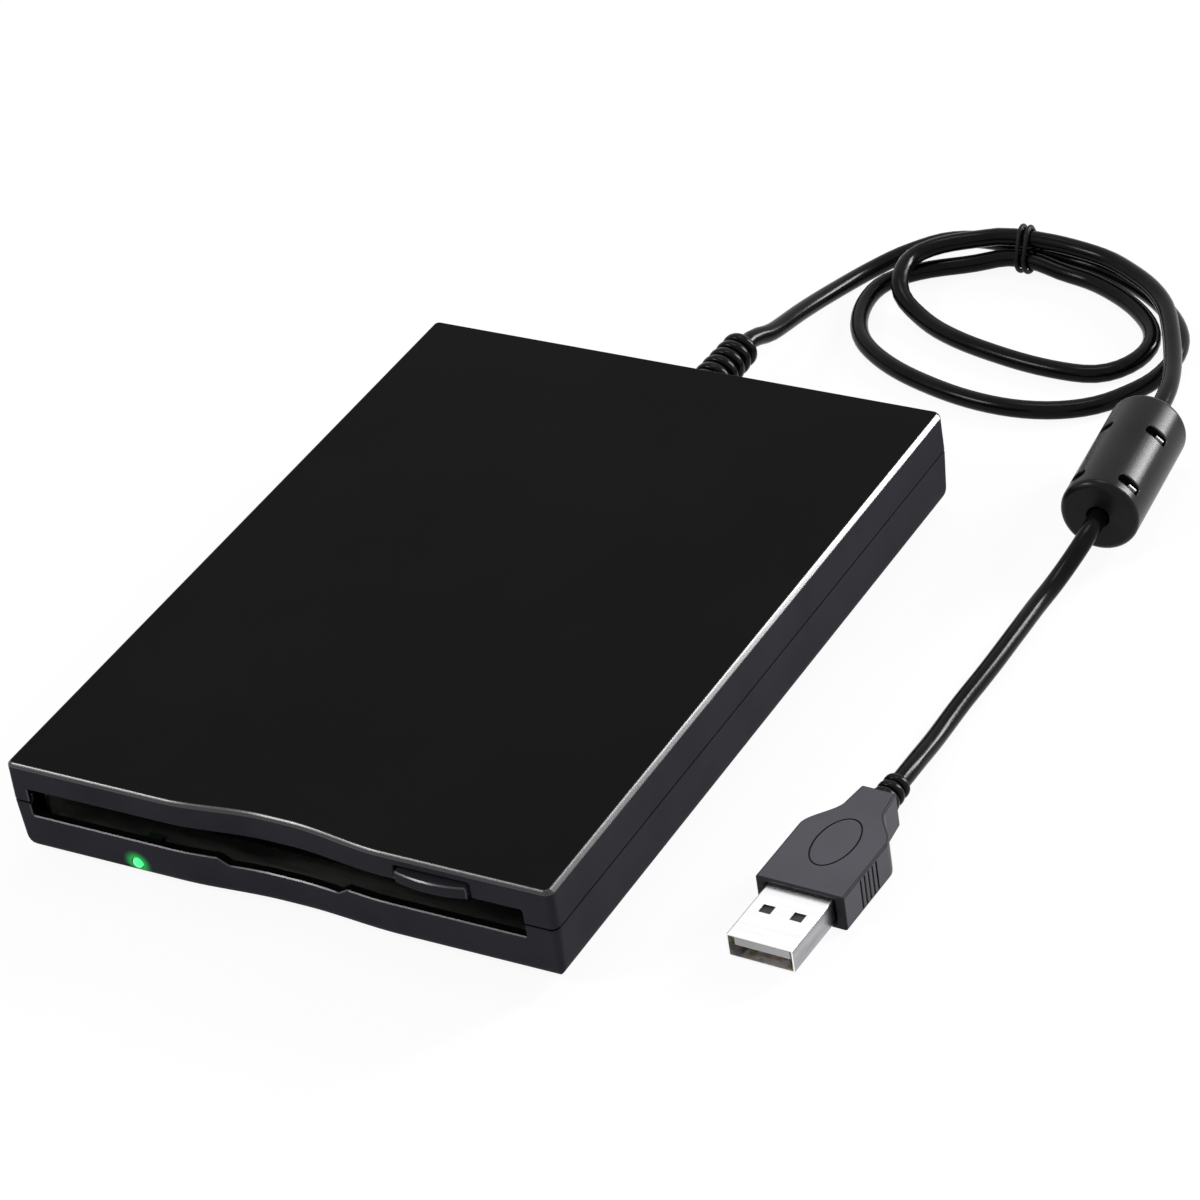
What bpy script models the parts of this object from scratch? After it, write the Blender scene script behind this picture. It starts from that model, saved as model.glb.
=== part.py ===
"""External USB floppy disk drive, as an assembly of separate pieces.

Metres, +Z up. The origin is the middle of the drive's box on the surface that it stands on.
The disk slot and the eject button face -Y, the cord leaves towards +Y.
"""

import math

import bmesh
import bpy
from mathutils import Matrix, Vector

# Fits that many pieces share
GAP = 0.0003
SLIDING_FIT = 0.0001
OVERRUN = 0.001
WELD_DISTANCE = 0.000005

# The 3.5 inch disk that the drive is sized round
DISK_W = 0.090
DISK_L = 0.094
DISK_T = 0.0033
HUB_SHARE = 0.4787
OUTER_TRACK_SHARE = 0.4202
INNER_TRACK_SHARE = 0.2628
HUB_TO_LEADING_EDGE = DISK_L * HUB_SHARE
TRACK_OUTER_R = DISK_L * OUTER_TRACK_SHARE
TRACK_INNER_R = DISK_L * INNER_TRACK_SHARE
HEAD_TRAVEL = TRACK_OUTER_R - TRACK_INNER_R

# Case
CASE_BESIDE_DISK = 0.00715
CASE_BEYOND_DISK = 0.048
CASE_W = DISK_W + 2 * CASE_BESIDE_DISK
CASE_D = DISK_L + CASE_BEYOND_DISK
CASE_WALL = 0.0018
CORNER_R = 0.0016
SPLIT_UNDER_SLOT_MIDDLE = 0.0001
SEAM = 0.0003
COVER_DRAFT = 0.0001
COVER_SIDE_R = 0.0008
COVER_FRONT_R = 0.0005
CASE_DRAFT = 0.0004
CASE_EDGE_R = 0.0037
LIP_T = 0.0008
LIP_RISE = 0.0012
FOOT_H = 0.0007

# Shallow dip across the middle of the front face
WAVE_DEEP_TOP = 0.0019
WAVE_DEEP_BOTTOM = 0.0010
WAVE_HALF = 0.021
WAVE_FLAT_HALF = 0.002

# Disk slot
SLOT_FROM_LEFT = 0.0036
SLOT_FROM_RIGHT = 0.00595
SLOT_LEFT = CASE_W / 2 - SLOT_FROM_LEFT
SLOT_RIGHT = CASE_W / 2 - SLOT_FROM_RIGHT
SLOT_ABOVE_BAY = 0.0004
SLOT_BELOW_BAY = 0.0007
NOTCH_HALF_TOP = 0.0125
NOTCH_HALF_FLOOR = 0.0105
NOTCH_DEEP = 0.0013

# Eject button and its travel
BUTTON_FROM_SIDE = 0.02215
BUTTON_X = CASE_W / 2 - BUTTON_FROM_SIDE
BUTTON_W = 0.0134
BUTTON_UNDER_LID = 0.0008
BUTTON_PROUD = 0.0014
BUTTON_BOW = 0.0009
BUTTON_LONG = 0.0066
BUTTON_SOCKET = 0.0030
BUTTON_EDGE_R = 0.0003
EJECT_TRAVEL = 0.004
CRADLE_DROP = 0.002

# Indicator
LED_FROM_SIDE = 0.02325
LED_X = LED_FROM_SIDE - CASE_W / 2
LED_R = 0.0010
LED_PROUD = 0.0003
DIODE_W = 0.0030
DIODE_D = 0.0020
DIODE_H = 0.0026
DIODE_NOTCH_D = 0.0030

# Feet and case screws
FOOT_R = 0.0045
FOOT_SUNK = 0.0006
FOOT_FROM_SIDE = 0.01175
FOOT_FROM_END = 0.015
FOOT_X = CASE_W / 2 - FOOT_FROM_SIDE
FOOT_Y = CASE_D / 2 - FOOT_FROM_END
CASE_SCREW_FROM_SIDE = 0.00925
CASE_SCREW_X = CASE_W / 2 - CASE_SCREW_FROM_SIDE
CASE_SCREW_FROM_BACK = 0.0065
CASE_SCREW_R = 0.0010
CASE_SCREW_HEAD_R = 0.0021
CASE_SCREW_HEAD_H = 0.0012
CASE_BOSS_WALL = 0.0010
CASE_SCREW_GRIP = 0.0028

# The mechanism round the disk
DISK_SIDE_PLAY = 0.0002
DISK_BAY_ROOM = 0.0010
DISK_BAY_H = DISK_T + DISK_BAY_ROOM
DISK_FROM_FRONT = 0.0035
DISK_END_PLAY = 0.0020
MECH_X = -0.0012
MECH_BEYOND_DISK = 0.0303
MECH_L = DISK_L + MECH_BEYOND_DISK
MECH_FROM_WALL = 0.0026
MECH_UP = 0.0016
CHASSIS_T = 0.0008
SHIELD_T = 0.0005
SHIELD_UNDER_LID = 0.0009
SHIELD_WINDOW_HALF = 0.0085
CHASSIS_SCREW_R = 0.0008
CHASSIS_SCREW_HEAD_R = 0.0017
CHASSIS_SCREW_HEAD_H = 0.0008
CHASSIS_SCREW_L = 0.0020
CHASSIS_SCREW_FROM_SIDE = 0.0040
CHASSIS_SCREW_X = DISK_W / 2 - CHASSIS_SCREW_FROM_SIDE
CHASSIS_SCREW_INSET = 0.0130
CHASSIS_POST_R = 0.0022
CRADLE_T = 0.0006
CRADLE_LIP_W = 0.0030
CRADLE_WINDOW_HALF = 0.0080
CRADLE_WINDOW_ROOM = 0.0032
EJECT_PLATE_T = 0.0006
EJECT_WINDOW_ROOM = 0.0126
EJECT_ARM_LEFT = 0.0055
EJECT_WINDOW_RIGHT = 0.0100
EJECT_TONGUE_W = 0.0080
EJECT_OVERHANG = 0.0010
FLAP_T = 0.0006
FLAP_PIN_R = 0.0006
FLAP_FROM_FRONT = 0.0018
CAM_PIN_R = 0.0008
CAM_PIN_INSET = 0.012
FLANGE_BELOW_CAM = 0.0006

# Spindle
ROTOR_SHARE = 0.749
ROTOR_R = TRACK_INNER_R * ROTOR_SHARE
ROTOR_T = 0.0005
ROTOR_SKIRT_H = 0.0013
HUB_R = 0.0090
HUB_STEP = 0.0004
SPINDLE_R = 0.0012
SPINDLE_TIP = 0.0013
DRIVE_PIN_R = 0.0010
DRIVE_PIN_AT = 0.0068
DRIVE_PIN_UP = 0.0009
BEARING_WALL = 0.0020
BEARING_FLANGE = 0.0025
STATOR_COIL_IN = 0.0080
ROTOR_PAST_COIL = 0.0025
STATOR_COIL_OUT = ROTOR_R - ROTOR_PAST_COIL
STATOR_COIL_T = 0.0006
BOARD_T = 0.0006
BOARD_PAST_ROTOR = 0.0015
BOARD_RIGHT = ROTOR_R + BOARD_PAST_ROTOR
BOARD_FROM_SIDE = 0.0100
BOARD_LEFT = DISK_W / 2 - BOARD_FROM_SIDE
BOARD_FROM_SLED = 0.0030
BOARD_MARGIN = 0.0025

# Heads and their carriage
HEAD_SIDE = 0.0040
HEAD_ABOVE_DISK = 0.0002
TONGUE_W = 0.0080
TONGUE_OVERHANG = 0.0025
SLED_W = 0.0240
SLED_H = 0.0024
SLED_L = 0.0220
SLED_BEHIND_HEAD = 0.0055
SLED_FLOAT = 0.0004
THROAT = 0.0215
ROD_R = 0.00075
ROD_X = 0.0090
ROD_BLOCK_L = 0.0026
ROD_BLOCK_W = 0.0040
ROD_END = 0.0004
EAR_W = 0.0016
EAR_L = 0.0060
ARM_W = 0.0100
ARM_T = 0.0008
ARM_PIN_R = 0.0008
ARM_HUB_H = 0.0030
ARM_PIVOT_DROP = 0.0025
EAR_ABOVE_PIN = 0.0015
SCREW_X = 0.0220
SCREW_R = 0.0010
NUT_L = 0.0030
NUT_INSET = 0.0008
NUT_WALL = 0.0012
BRACKET_T = 0.0015
BRACKET_W = 0.0044
BRACKET_ABOVE = 0.0004
STEPPER_R = 0.0050
STEPPER_GAP = 0.0008
STEPPER_FROM_BACK = 0.0005

# Shutter lever
LEVER_FROM_SIDE = 0.0120
LEVER_X = LEVER_FROM_SIDE - DISK_W / 2
LEVER_BACK = 0.0045
LEVER_BESIDE_WINDOW = 0.00206
LEVER_T = 0.0006
LEVER_HUB_R = 0.0030
LEVER_TIP_R = 0.0018
LEVER_RIVET_R = 0.0011
LEVER_PIN_DOWN = 0.0025
LEVER_PIN_R = 0.0010
LEVER_REST = math.radians(-70)
LEVER_SWING = math.radians(35)
LEVER_REACH_X = -LEVER_X - CRADLE_WINDOW_HALF - LEVER_BESIDE_WINDOW
LEVER_R = LEVER_REACH_X / math.cos(LEVER_REST + LEVER_SWING)

# Eject spring
SPRING_FROM_SIDE = 0.0015
SPRING_X = SPRING_FROM_SIDE - DISK_W / 2
SPRING_R = 0.0010
SPRING_WIRE_R = 0.00025
SPRING_TURNS = 6
SPRING_L = 0.0120
SPRING_STEPS = 8
SPRING_TAB_T = 0.0010

# Sensor switches
SWITCH_FROM_SIDE = 0.0120
SWITCH_X = SWITCH_FROM_SIDE - DISK_W / 2
SWITCH_GAP_X = 0.0060
SWITCH_FROM_FRONT = 0.0050
SWITCH_L = 0.0040
SWITCH_W = 0.0110
SWITCH_H = 0.0018
PLUNGER_R = 0.0008
PLUNGER_ROOT = 0.0008
PLUNGER_TRAVEL = 0.0008

# Interface board behind the mechanism
USB_BOARD_SHARE = 0.5753
USB_BOARD_W = CASE_W * USB_BOARD_SHARE
USB_BOARD_D = 0.0088
USB_BOARD_T = 0.0010
USB_BOARD_UP = 0.0020
USB_BOARD_FROM_MECH = 0.0015
USB_POST_R = 0.0015
USB_POST_INSET = 0.0040
USB_POST_X = USB_BOARD_W / 2 - USB_POST_INSET
CHIP_SIDE = 0.0060
CHIP_H = 0.0010
CHIP_AT_SHARE = 0.4667
CHIP_X = USB_BOARD_W / 2 * CHIP_AT_SHARE
CRYSTAL_W = 0.0090
CRYSTAL_D = 0.0036
CRYSTAL_H = 0.0028
CRYSTAL_AT_SHARE = 0.7833
CRYSTAL_X = USB_BOARD_W / 2 * CRYSTAL_AT_SHARE
SOCKET_W = 0.0080
SOCKET_D = 0.0040
SOCKET_H = 0.0020
LEAD_BEND = 0.0016
RIBBON_SHARE = 0.8
RIBBON_T = 0.0003
RIBBON_HUMP = 0.0024
INNER_LEAD_R = 0.0010

# Cord and what is on it
CORD_R = 0.0017
CORD_SIDES_RES = 2
COIL_SIDES_RES = 1
BOOT_L = 0.0212
BOOT_BASE_R = 0.0040
BOOT_END_R = 0.0035
BOOT_GROOVE = 0.0008
BOOT_RINGS = 8
BOOT_RING_SHARE = 0.62
BOOT_NECK_R = 0.0030
BOOT_FLANGE_R = 0.0040
BOOT_FLANGE_T = 0.0010
STRAND_GAP = 0.0006
TIE_WIRE_R = 0.00045
TIE_PITCH = 0.0015
TIE_TURNS = 2
FERRITE_R = 0.0071
FERRITE_L = 0.0290
FERRITE_WALL = 0.0016
FERRITE_EDGE_R = 0.0014
FERRITE_YAW = math.radians(5.6)
FERRITE_X = 0.0816
FERRITE_Y = 0.0806
CORE_BORE_GAP = 0.0003
WINDOW_W = 0.0044
WINDOW_L = 0.0024
WINDOW_BACK = 0.0049
WINDOW_PITCH = 0.0154
WINDOW_ANGLE = math.radians(45.9)
WINDOW_ROWS = 4
WINDOWS_IN_ROW = 2
PLUG_YAW = math.radians(-2.0)
PLUG_X = 0.0795
PLUG_Y = -0.0419
PLUG_W = 0.0160
PLUG_H = 0.0066
PLUG_FLAT_L = 0.0162
PLUG_SHOULDER_L = 0.0063
PLUG_NECK_L = 0.0046
PLUG_SHOULDER_W = 0.0074
PLUG_NECK_W = 0.0063
PLUG_NECK_H = 0.0052
PLUG_EDGE_R = 0.0008
GRIP_COUNT = 5
GRIP_FROM_FACE = 0.0056
GRIP_PITCH = 0.0013
GRIP_W = 0.0006
GRIP_DEEP = 0.0004
OVAL_FROM_FACE = 0.0123
OVAL_L = 0.0125
OVAL_W = 0.0070
OVAL_DEEP = 0.0003
OVAL_LINE = 0.0005
RELIEF_L = 0.0060
RELIEF_R = 0.0024
RELIEF_GROOVE = 0.0005
RELIEF_RINGS = 3
USB_W = 0.0120
USB_H = 0.0045
USB_T = 0.0003
USB_L = 0.0132
USB_SOCKETED = 0.0030
USB_WINDOW_W = 0.0021
USB_WINDOW_L = 0.0020
USB_WINDOW_AT = 0.0055
USB_WINDOW_X = 0.0028
USB_TONGUE_H = 0.0019
USB_TONGUE_SHORT = 0.0006

# The tie round the coil's three strands
TIE_X = 0.0319
TIE_Y = 0.1480

# Values worked out from the ones above
CASE_Y = BUTTON_PROUD / 2
SPINDLE_STACK = BOARD_T + STATOR_COIL_T + ROTOR_T + HUB_STEP + 3 * GAP
CHASSIS_H = CHASSIS_T + SPINDLE_STACK + CRADLE_DROP + DISK_BAY_H + CRADLE_T + EJECT_PLATE_T + 2 * GAP
CASE_H = 2 * CASE_WALL + MECH_UP + CHASSIS_H + GAP + SHIELD_T + SHIELD_UNDER_LID
CASE_TOP = FOOT_H + CASE_H
INNER_TOP = CASE_TOP - CASE_WALL
INNER_FLOOR = FOOT_H + CASE_WALL
FRONT = -CASE_D / 2
BACK = CASE_D / 2
FRONT_IN = FRONT + CASE_WALL
BACK_IN = BACK - CASE_WALL
MECH_FRONT = FRONT_IN + MECH_FROM_WALL
MECH_BACK = MECH_FRONT + MECH_L
CHASSIS_BOTTOM = INNER_FLOOR + MECH_UP
CHASSIS_FLOOR = CHASSIS_BOTTOM + CHASSIS_T
CHASSIS_TOP = CHASSIS_BOTTOM + CHASSIS_H
CRADLE_IN = DISK_W / 2 + DISK_SIDE_PLAY
CRADLE_OUT = CRADLE_IN + CRADLE_T
FLANGE_IN = CRADLE_OUT + GAP
FLANGE_OUT = FLANGE_IN + EJECT_PLATE_T
CHASSIS_IN = FLANGE_OUT + GAP
CHASSIS_OUT = CHASSIS_IN + CHASSIS_T
SHIELD_BOTTOM = CHASSIS_TOP + GAP
EJECT_TOP = CHASSIS_TOP - GAP
EJECT_UNDER = EJECT_TOP - EJECT_PLATE_T
LID_TOP = EJECT_UNDER - GAP
LID_UNDER = LID_TOP - CRADLE_T
LIP_TOP = LID_UNDER - DISK_BAY_H
LIP_UNDER = LIP_TOP - CRADLE_T
SLOT_TOP = LID_UNDER + SLOT_ABOVE_BAY
SLOT_FLOOR = LIP_TOP - SLOT_BELOW_BAY
SPLIT = (SLOT_TOP + SLOT_FLOOR) / 2 - SPLIT_UNDER_SLOT_MIDDLE
BUTTON_H = INNER_TOP - SLOT_TOP - BUTTON_UNDER_LID
DISK_DOWN = LIP_TOP - CRADLE_DROP
FLAP_PIN_Y = MECH_FRONT + FLAP_FROM_FRONT
FLAP_PIN_Z = SLOT_TOP - FLAP_PIN_R
FLAP_BOTTOM = SLOT_FLOOR + GAP
FLAP_REACH = FLAP_PIN_Z - FLAP_BOTTOM
CRADLE_FRONT = FLAP_PIN_Y + FLAP_REACH + 2 * GAP
SPINDLE_Y = FRONT + DISK_FROM_FRONT + DISK_L - HUB_TO_LEADING_EDGE
LEADING_EDGE = SPINDLE_Y + HUB_TO_LEADING_EDGE
CRADLE_BACK = LEADING_EDGE + DISK_END_PLAY
CAM_PIN_Z = (LID_UNDER + LIP_TOP) / 2
CAM_PIN_YS = (CRADLE_FRONT + CAM_PIN_INSET, CRADLE_BACK - CAM_PIN_INSET)
FLANGE_BOTTOM = CAM_PIN_Z - CRADLE_DROP - CAM_PIN_R - GAP - FLANGE_BELOW_CAM
FLANGE_FRONT = CRADLE_FRONT + EJECT_TRAVEL + GAP
EJECT_FRONT = MECH_FRONT + EJECT_TRAVEL
EJECT_BACK = CRADLE_BACK + EJECT_OVERHANG
CHASSIS_SCREW_YS = (MECH_FRONT + CHASSIS_SCREW_INSET, MECH_BACK - CHASSIS_SCREW_INSET)
ROOF_TOP = DISK_DOWN - HUB_STEP
ROOF_UNDER = ROOF_TOP - ROTOR_T
BOARD_BOTTOM = CHASSIS_FLOOR + GAP
BOARD_TOP = BOARD_BOTTOM + BOARD_T
BEARING_R = SPINDLE_R + GAP + BEARING_WALL
HEAD_Y = SPINDLE_Y + TRACK_OUTER_R
LOWER_HEAD_TOP = DISK_DOWN + DISK_T / 2
UPPER_HEAD_BOTTOM = LIP_TOP + DISK_T + HEAD_ABOVE_DISK
ARM_UNDER = LID_UNDER - HEAD_ABOVE_DISK
ARM_TOP = ARM_UNDER + ARM_T
SLED_BOTTOM = CHASSIS_FLOOR + SLED_FLOAT
SLED_TOP = SLED_BOTTOM + SLED_H
SLED_FRONT = HEAD_Y + SLED_BEHIND_HEAD
SLED_BACK = SLED_FRONT + SLED_L
EAR_FRONT = HEAD_Y + THROAT
EAR_BACK = EAR_FRONT + EAR_L
ROD_Z = (SLED_BOTTOM + SLED_TOP) / 2
ROD_FRONT = SLED_FRONT - HEAD_TRAVEL - GAP - ROD_BLOCK_L
ROD_BACK = SLED_BACK + GAP + ROD_BLOCK_L
ARM_PIVOT_Y = (EAR_FRONT + EAR_BACK) / 2
ARM_PIVOT_Z = LID_UNDER - ARM_PIVOT_DROP
EAR_TOP = ARM_PIVOT_Z + EAR_ABOVE_PIN
EAR_IN = ARM_W / 2 + GAP
EAR_OUT = EAR_IN + EAR_W
STEPPER_BACK = MECH_BACK - STEPPER_FROM_BACK
STEPPER_FRONT = EAR_BACK + STEPPER_GAP
SCREW_Z = CHASSIS_FLOOR + GAP + STEPPER_R
NUT_BACK = EAR_BACK - NUT_INSET
NUT_FRONT = NUT_BACK - NUT_L
BRACKET_BACK = NUT_FRONT - HEAD_TRAVEL - 2 * GAP
BRACKET_FRONT = BRACKET_BACK - BRACKET_T
LEVER_Y = CRADLE_BACK - LEVER_BACK
SPRING_Y = EJECT_BACK + GAP + SPRING_WIRE_R
SPRING_Z = EJECT_TOP - SPRING_R - SPRING_WIRE_R
SPRING_TAB_Y = SPRING_Y + SPRING_L + SPRING_WIRE_R + GAP
SWITCH_Y = CRADLE_FRONT + SWITCH_FROM_FRONT
SWITCH_TOP = CHASSIS_FLOOR + GAP + SWITCH_H
PLUNGER_TOP = DISK_DOWN + PLUNGER_TRAVEL
USB_BOARD_BOTTOM = INNER_FLOOR + USB_BOARD_UP
USB_BOARD_TOP = USB_BOARD_BOTTOM + USB_BOARD_T
USB_BOARD_FRONT = MECH_BACK + USB_BOARD_FROM_MECH
USB_BOARD_Y = USB_BOARD_FRONT + USB_BOARD_D / 2
BOOT_Z = USB_BOARD_TOP + SOCKET_H + 3 * GAP + LEAD_BEND
BOARD_STRIP_RIGHT = -SLED_W / 2 - BOARD_FROM_SLED
RIBBON_W = (BOARD_LEFT + BOARD_STRIP_RIGHT) * RIBBON_SHARE
RIBBON_MIDDLE = (BOARD_STRIP_RIGHT - BOARD_LEFT) / 2
SCREW_BOSS_Y = BACK - CASE_SCREW_FROM_BACK
LED_Z = INNER_FLOOR + GAP + DIODE_H / 2
LED_FRONT = FRONT + CASE_DRAFT - LED_PROUD
BOSS_MEET = SPLIT - CASE_WALL
CORD_D = 2 * CORD_R

# How finely round things are divided
CORNER_STEPS = 6
WAVE_STEPS = 14
EDGE_STEPS = 4
LEAD_BEND_STEPS = 5
FINE_SIDES = 32
ROUND_SIDES = 20
SMALL_SIDES = 12
FREE_POINT_STEP = 2.5 * CORD_D
COIL_POINT_STEP = 1.5 * CORD_D
SMOOTH_ANGLE = math.radians(40)

PARTS = bpy.data.collections.new("external_floppy_drive")
CUTTERS = bpy.data.collections.new("cutters")
MATERIALS = {}


def start_clean():
    for obj in list(bpy.data.objects):
        bpy.data.objects.remove(obj, do_unlink=True)
    bpy.context.scene.collection.children.link(PARTS)
    bpy.context.scene.collection.children.link(CUTTERS)


def material(name, colour, roughness, metallic=0.0):
    mat = bpy.data.materials.new(name)
    mat.use_nodes = True
    shader = mat.node_tree.nodes["Principled BSDF"]
    shader.inputs["Base Color"].default_value = (*colour, 1.0)
    shader.inputs["Roughness"].default_value = roughness
    shader.inputs["Metallic"].default_value = metallic
    mat.diffuse_color = (*colour, 1.0)
    MATERIALS[name] = mat


def make_materials():
    material("cover_plastic", (0.011, 0.011, 0.011), 0.30)
    material("case_plastic", (0.030, 0.029, 0.034), 0.42)
    material("button_plastic", (0.022, 0.022, 0.025), 0.35)
    material("black_rubber", (0.012, 0.012, 0.012), 0.70)
    material("cord_jacket", (0.010, 0.010, 0.010), 0.28)
    material("green_lens", (0.05, 0.80, 0.20), 0.20)
    material("bright_steel", (0.62, 0.62, 0.60), 0.30, 1.0)
    material("nickel", (0.80, 0.80, 0.80), 0.18, 1.0)
    material("grey_plastic", (0.16, 0.16, 0.17), 0.50)
    material("white_plastic", (0.75, 0.75, 0.73), 0.45)
    material("circuit_board", (0.01, 0.10, 0.04), 0.50)
    material("chip_black", (0.015, 0.015, 0.016), 0.55)
    material("copper", (0.70, 0.30, 0.12), 0.35, 1.0)
    material("brass", (0.70, 0.52, 0.22), 0.35, 1.0)
    material("ferrite_grey", (0.06, 0.06, 0.065), 0.60)
    material("ribbon", (0.55, 0.38, 0.14), 0.45)


def empty(name, location):
    obj = bpy.data.objects.new(name, None)
    obj.location = location
    PARTS.objects.link(obj)
    return obj


def place(name, mesh, mat, parent, location=(0, 0, 0), rotation=None, tool=False):
    """Put a mesh in the scene, as a piece or as the shape that cuts or joins one."""
    obj = bpy.data.objects.new(name, mesh)
    obj.parent = parent
    obj.location = location
    if rotation is not None:
        obj.rotation_euler = rotation
    if tool:
        CUTTERS.objects.link(obj)
        obj.hide_render = True
        obj.display_type = "WIRE"
    else:
        PARTS.objects.link(obj)
        mesh.materials.append(MATERIALS[mat])
        mesh.shade_smooth()
        mesh.set_sharp_from_angle(angle=SMOOTH_ANGLE)
    return obj


def boolean(target, other, operation):
    mod = target.modifiers.new(other.name, "BOOLEAN")
    mod.operation = operation
    mod.solver = "EXACT"
    mod.object = other


def cut(target, *tools):
    for other in tools:
        boolean(target, other, "DIFFERENCE")


def fuse(target, *tools):
    for other in tools:
        boolean(target, other, "UNION")


def bevel(target, width, segments=1):
    mod = target.modifiers.new("edges", "BEVEL")
    mod.width = width
    mod.segments = segments
    mod.limit_method = "ANGLE"


def mesh_from(bm, name):
    mesh = bpy.data.meshes.new(name)
    bm.to_mesh(mesh)
    bm.free()
    return mesh


def box(name, low, high, mat=None, parent=None, tool=False):
    """A box between two corners, its origin in its middle."""
    low = Vector(low)
    high = Vector(high)
    bm = bmesh.new()
    bmesh.ops.create_cube(bm, size=1)
    bmesh.ops.scale(bm, vec=high - low, verts=bm.verts)
    return place(name, mesh_from(bm, name), mat, parent, (low + high) / 2, tool=tool)


def rod(name, radius, start, end, sides, mat=None, parent=None, tool=False):
    """A round bar between two points, its origin in its middle."""
    start = Vector(start)
    end = Vector(end)
    along = end - start
    bm = bmesh.new()
    bmesh.ops.create_cone(bm, cap_ends=True, segments=sides, radius1=radius, radius2=radius,
                          depth=along.length)
    turn = along.to_track_quat("Z", "Y").to_euler()
    return place(name, mesh_from(bm, name), mat, parent, (start + end) / 2, turn, tool)


def turned(name, profile, sides, location, mat=None, parent=None, rotation=None, closed=False, tool=False):
    """A profile of (radius, height) points swept round Z. It runs down the outer side."""
    bm = bmesh.new()
    verts = [bm.verts.new((r, 0, z)) for r, z in profile]
    for a, b in zip(verts, verts[1:]):
        bm.edges.new((a, b))
    if closed:
        bm.edges.new((verts[-1], verts[0]))
    obj = place(name, mesh_from(bm, name), mat, parent, location, rotation, tool)
    screw = obj.modifiers.new("turn", "SCREW")
    screw.steps = sides
    screw.render_steps = sides
    screw.use_merge_vertices = True
    screw.merge_threshold = WELD_DISTANCE
    return obj


def slab_mesh(name, loops, thickness):
    """A flat outline, with any holes as further loops, thick along Z about zero."""
    curve = bpy.data.curves.new(name, "CURVE")
    curve.dimensions = "2D"
    curve.fill_mode = "BOTH"
    curve.extrude = thickness / 2
    for loop in loops:
        spline = curve.splines.new("POLY")
        spline.points.add(len(loop) - 1)
        for point, (x, y) in zip(spline.points, loop):
            point.co = (x, y, 0, 1)
        spline.use_cyclic_u = True
    return weld_curve(curve, name)


def weld_curve(curve, name):
    """The mesh of a curve, with its loose caps joined to its sides."""
    holder = bpy.data.objects.new(name, curve)
    CUTTERS.objects.link(holder)
    graph = bpy.context.evaluated_depsgraph_get()
    mesh = bpy.data.meshes.new_from_object(holder.evaluated_get(graph))
    bpy.data.objects.remove(holder, do_unlink=True)
    bm = bmesh.new()
    bm.from_mesh(mesh)
    bmesh.ops.remove_doubles(bm, verts=bm.verts, dist=WELD_DISTANCE)
    bm.to_mesh(mesh)
    bm.free()
    mesh.name = name
    mesh.materials.clear()
    return mesh


def slab(name, loops, bottom, top, mat=None, parent=None, tool=False, at=(0, 0)):
    """A flat outline in X and Y, thick from bottom to top. Its origin is at the point at."""
    mesh = slab_mesh(name, loops, top - bottom)
    return place(name, mesh, mat, parent, (at[0], at[1], (bottom + top) / 2), tool=tool)


def section_along_y(name, outline, front, back, mat=None, parent=None, tool=False):
    """An outline of (x, z) points carried along Y from front to back."""
    mesh = slab_mesh(name, [outline], back - front)
    mesh.transform(Matrix.Rotation(math.pi / 2, 4, "X"))
    return place(name, mesh, mat, parent, (0, (front + back) / 2, 0), tool=tool)


def section_along_x(name, outline, left, right, mat=None, parent=None, tool=False, pivot=(0, 0)):
    """An outline of (y, z) points carried along X. Its origin is at the pivot's y and z."""
    moved = [(y - pivot[0], z - pivot[1]) for y, z in outline]
    mesh = slab_mesh(name, [moved], right - left)
    mesh.transform(Matrix.Rotation(math.pi / 2, 4, "Z") @ Matrix.Rotation(math.pi / 2, 4, "X"))
    return place(name, mesh, mat, parent, ((left + right) / 2, pivot[0], pivot[1]), tool=tool)


def arc(cx, cy, radius, start, end, steps):
    points = []
    for i in range(steps + 1):
        angle = start + (end - start) * i / steps
        points.append((cx + radius * math.cos(angle), cy + radius * math.sin(angle)))
    return points


def ring(cx, cy, radius, sides):
    return arc(cx, cy, radius, 0, math.tau, sides)[:-1]


def rectangle(left, right, front, back):
    return [(left, front), (right, front), (right, back), (left, back)]


def smooth_step(t):
    t = min(max(t, 0), 1)
    return t * t * (3 - 2 * t)


def wave(x):
    """Share of the front's dip at x: 1 in the middle, 0 outside it."""
    return 1 - smooth_step((abs(x) - WAVE_FLAT_HALF) / (WAVE_HALF - WAVE_FLAT_HALF))


def case_outline(side_inset, end_inset, dip):
    """The case's plan, drawn in from the full size, with the dip in its front."""
    half_w = CASE_W / 2 - side_inset
    half_d = CASE_D / 2 - end_inset
    radius = max(CORNER_R - max(side_inset, end_inset), GAP)
    points = []
    quarter = math.pi / 2
    corners = ((1, -1, -quarter), (1, 1, 0), (-1, 1, quarter), (-1, -1, math.pi))
    for i in range(WAVE_STEPS + 1):
        x = -WAVE_HALF + 2 * WAVE_HALF * i / WAVE_STEPS
        points.append((x, -half_d + dip * wave(x)))
    for sx, sy, start in corners:
        points += arc(sx * (half_w - radius), sy * (half_d - radius), radius, start, start + quarter,
                      CORNER_STEPS)
    return points


def loft_case(name, rows, mat, parent):
    """A hollow case half: rows of (side inset, end inset, height, dip) from one cap to the other."""
    bm = bmesh.new()
    rings = []
    for side_inset, end_inset, z, dip in rows:
        rings.append([bm.verts.new((x, y, z)) for x, y in case_outline(side_inset, end_inset, dip)])
    for low, high in zip(rings, rings[1:]):
        for i in range(len(low)):
            j = (i + 1) % len(low)
            bm.faces.new((low[i], low[j], high[j], high[i]))
    bm.faces.new(list(reversed(rings[0])))
    bm.faces.new(rings[-1])
    bmesh.ops.recalc_face_normals(bm, faces=bm.faces)
    return place(name, mesh_from(bm, name), mat, parent)


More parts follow.
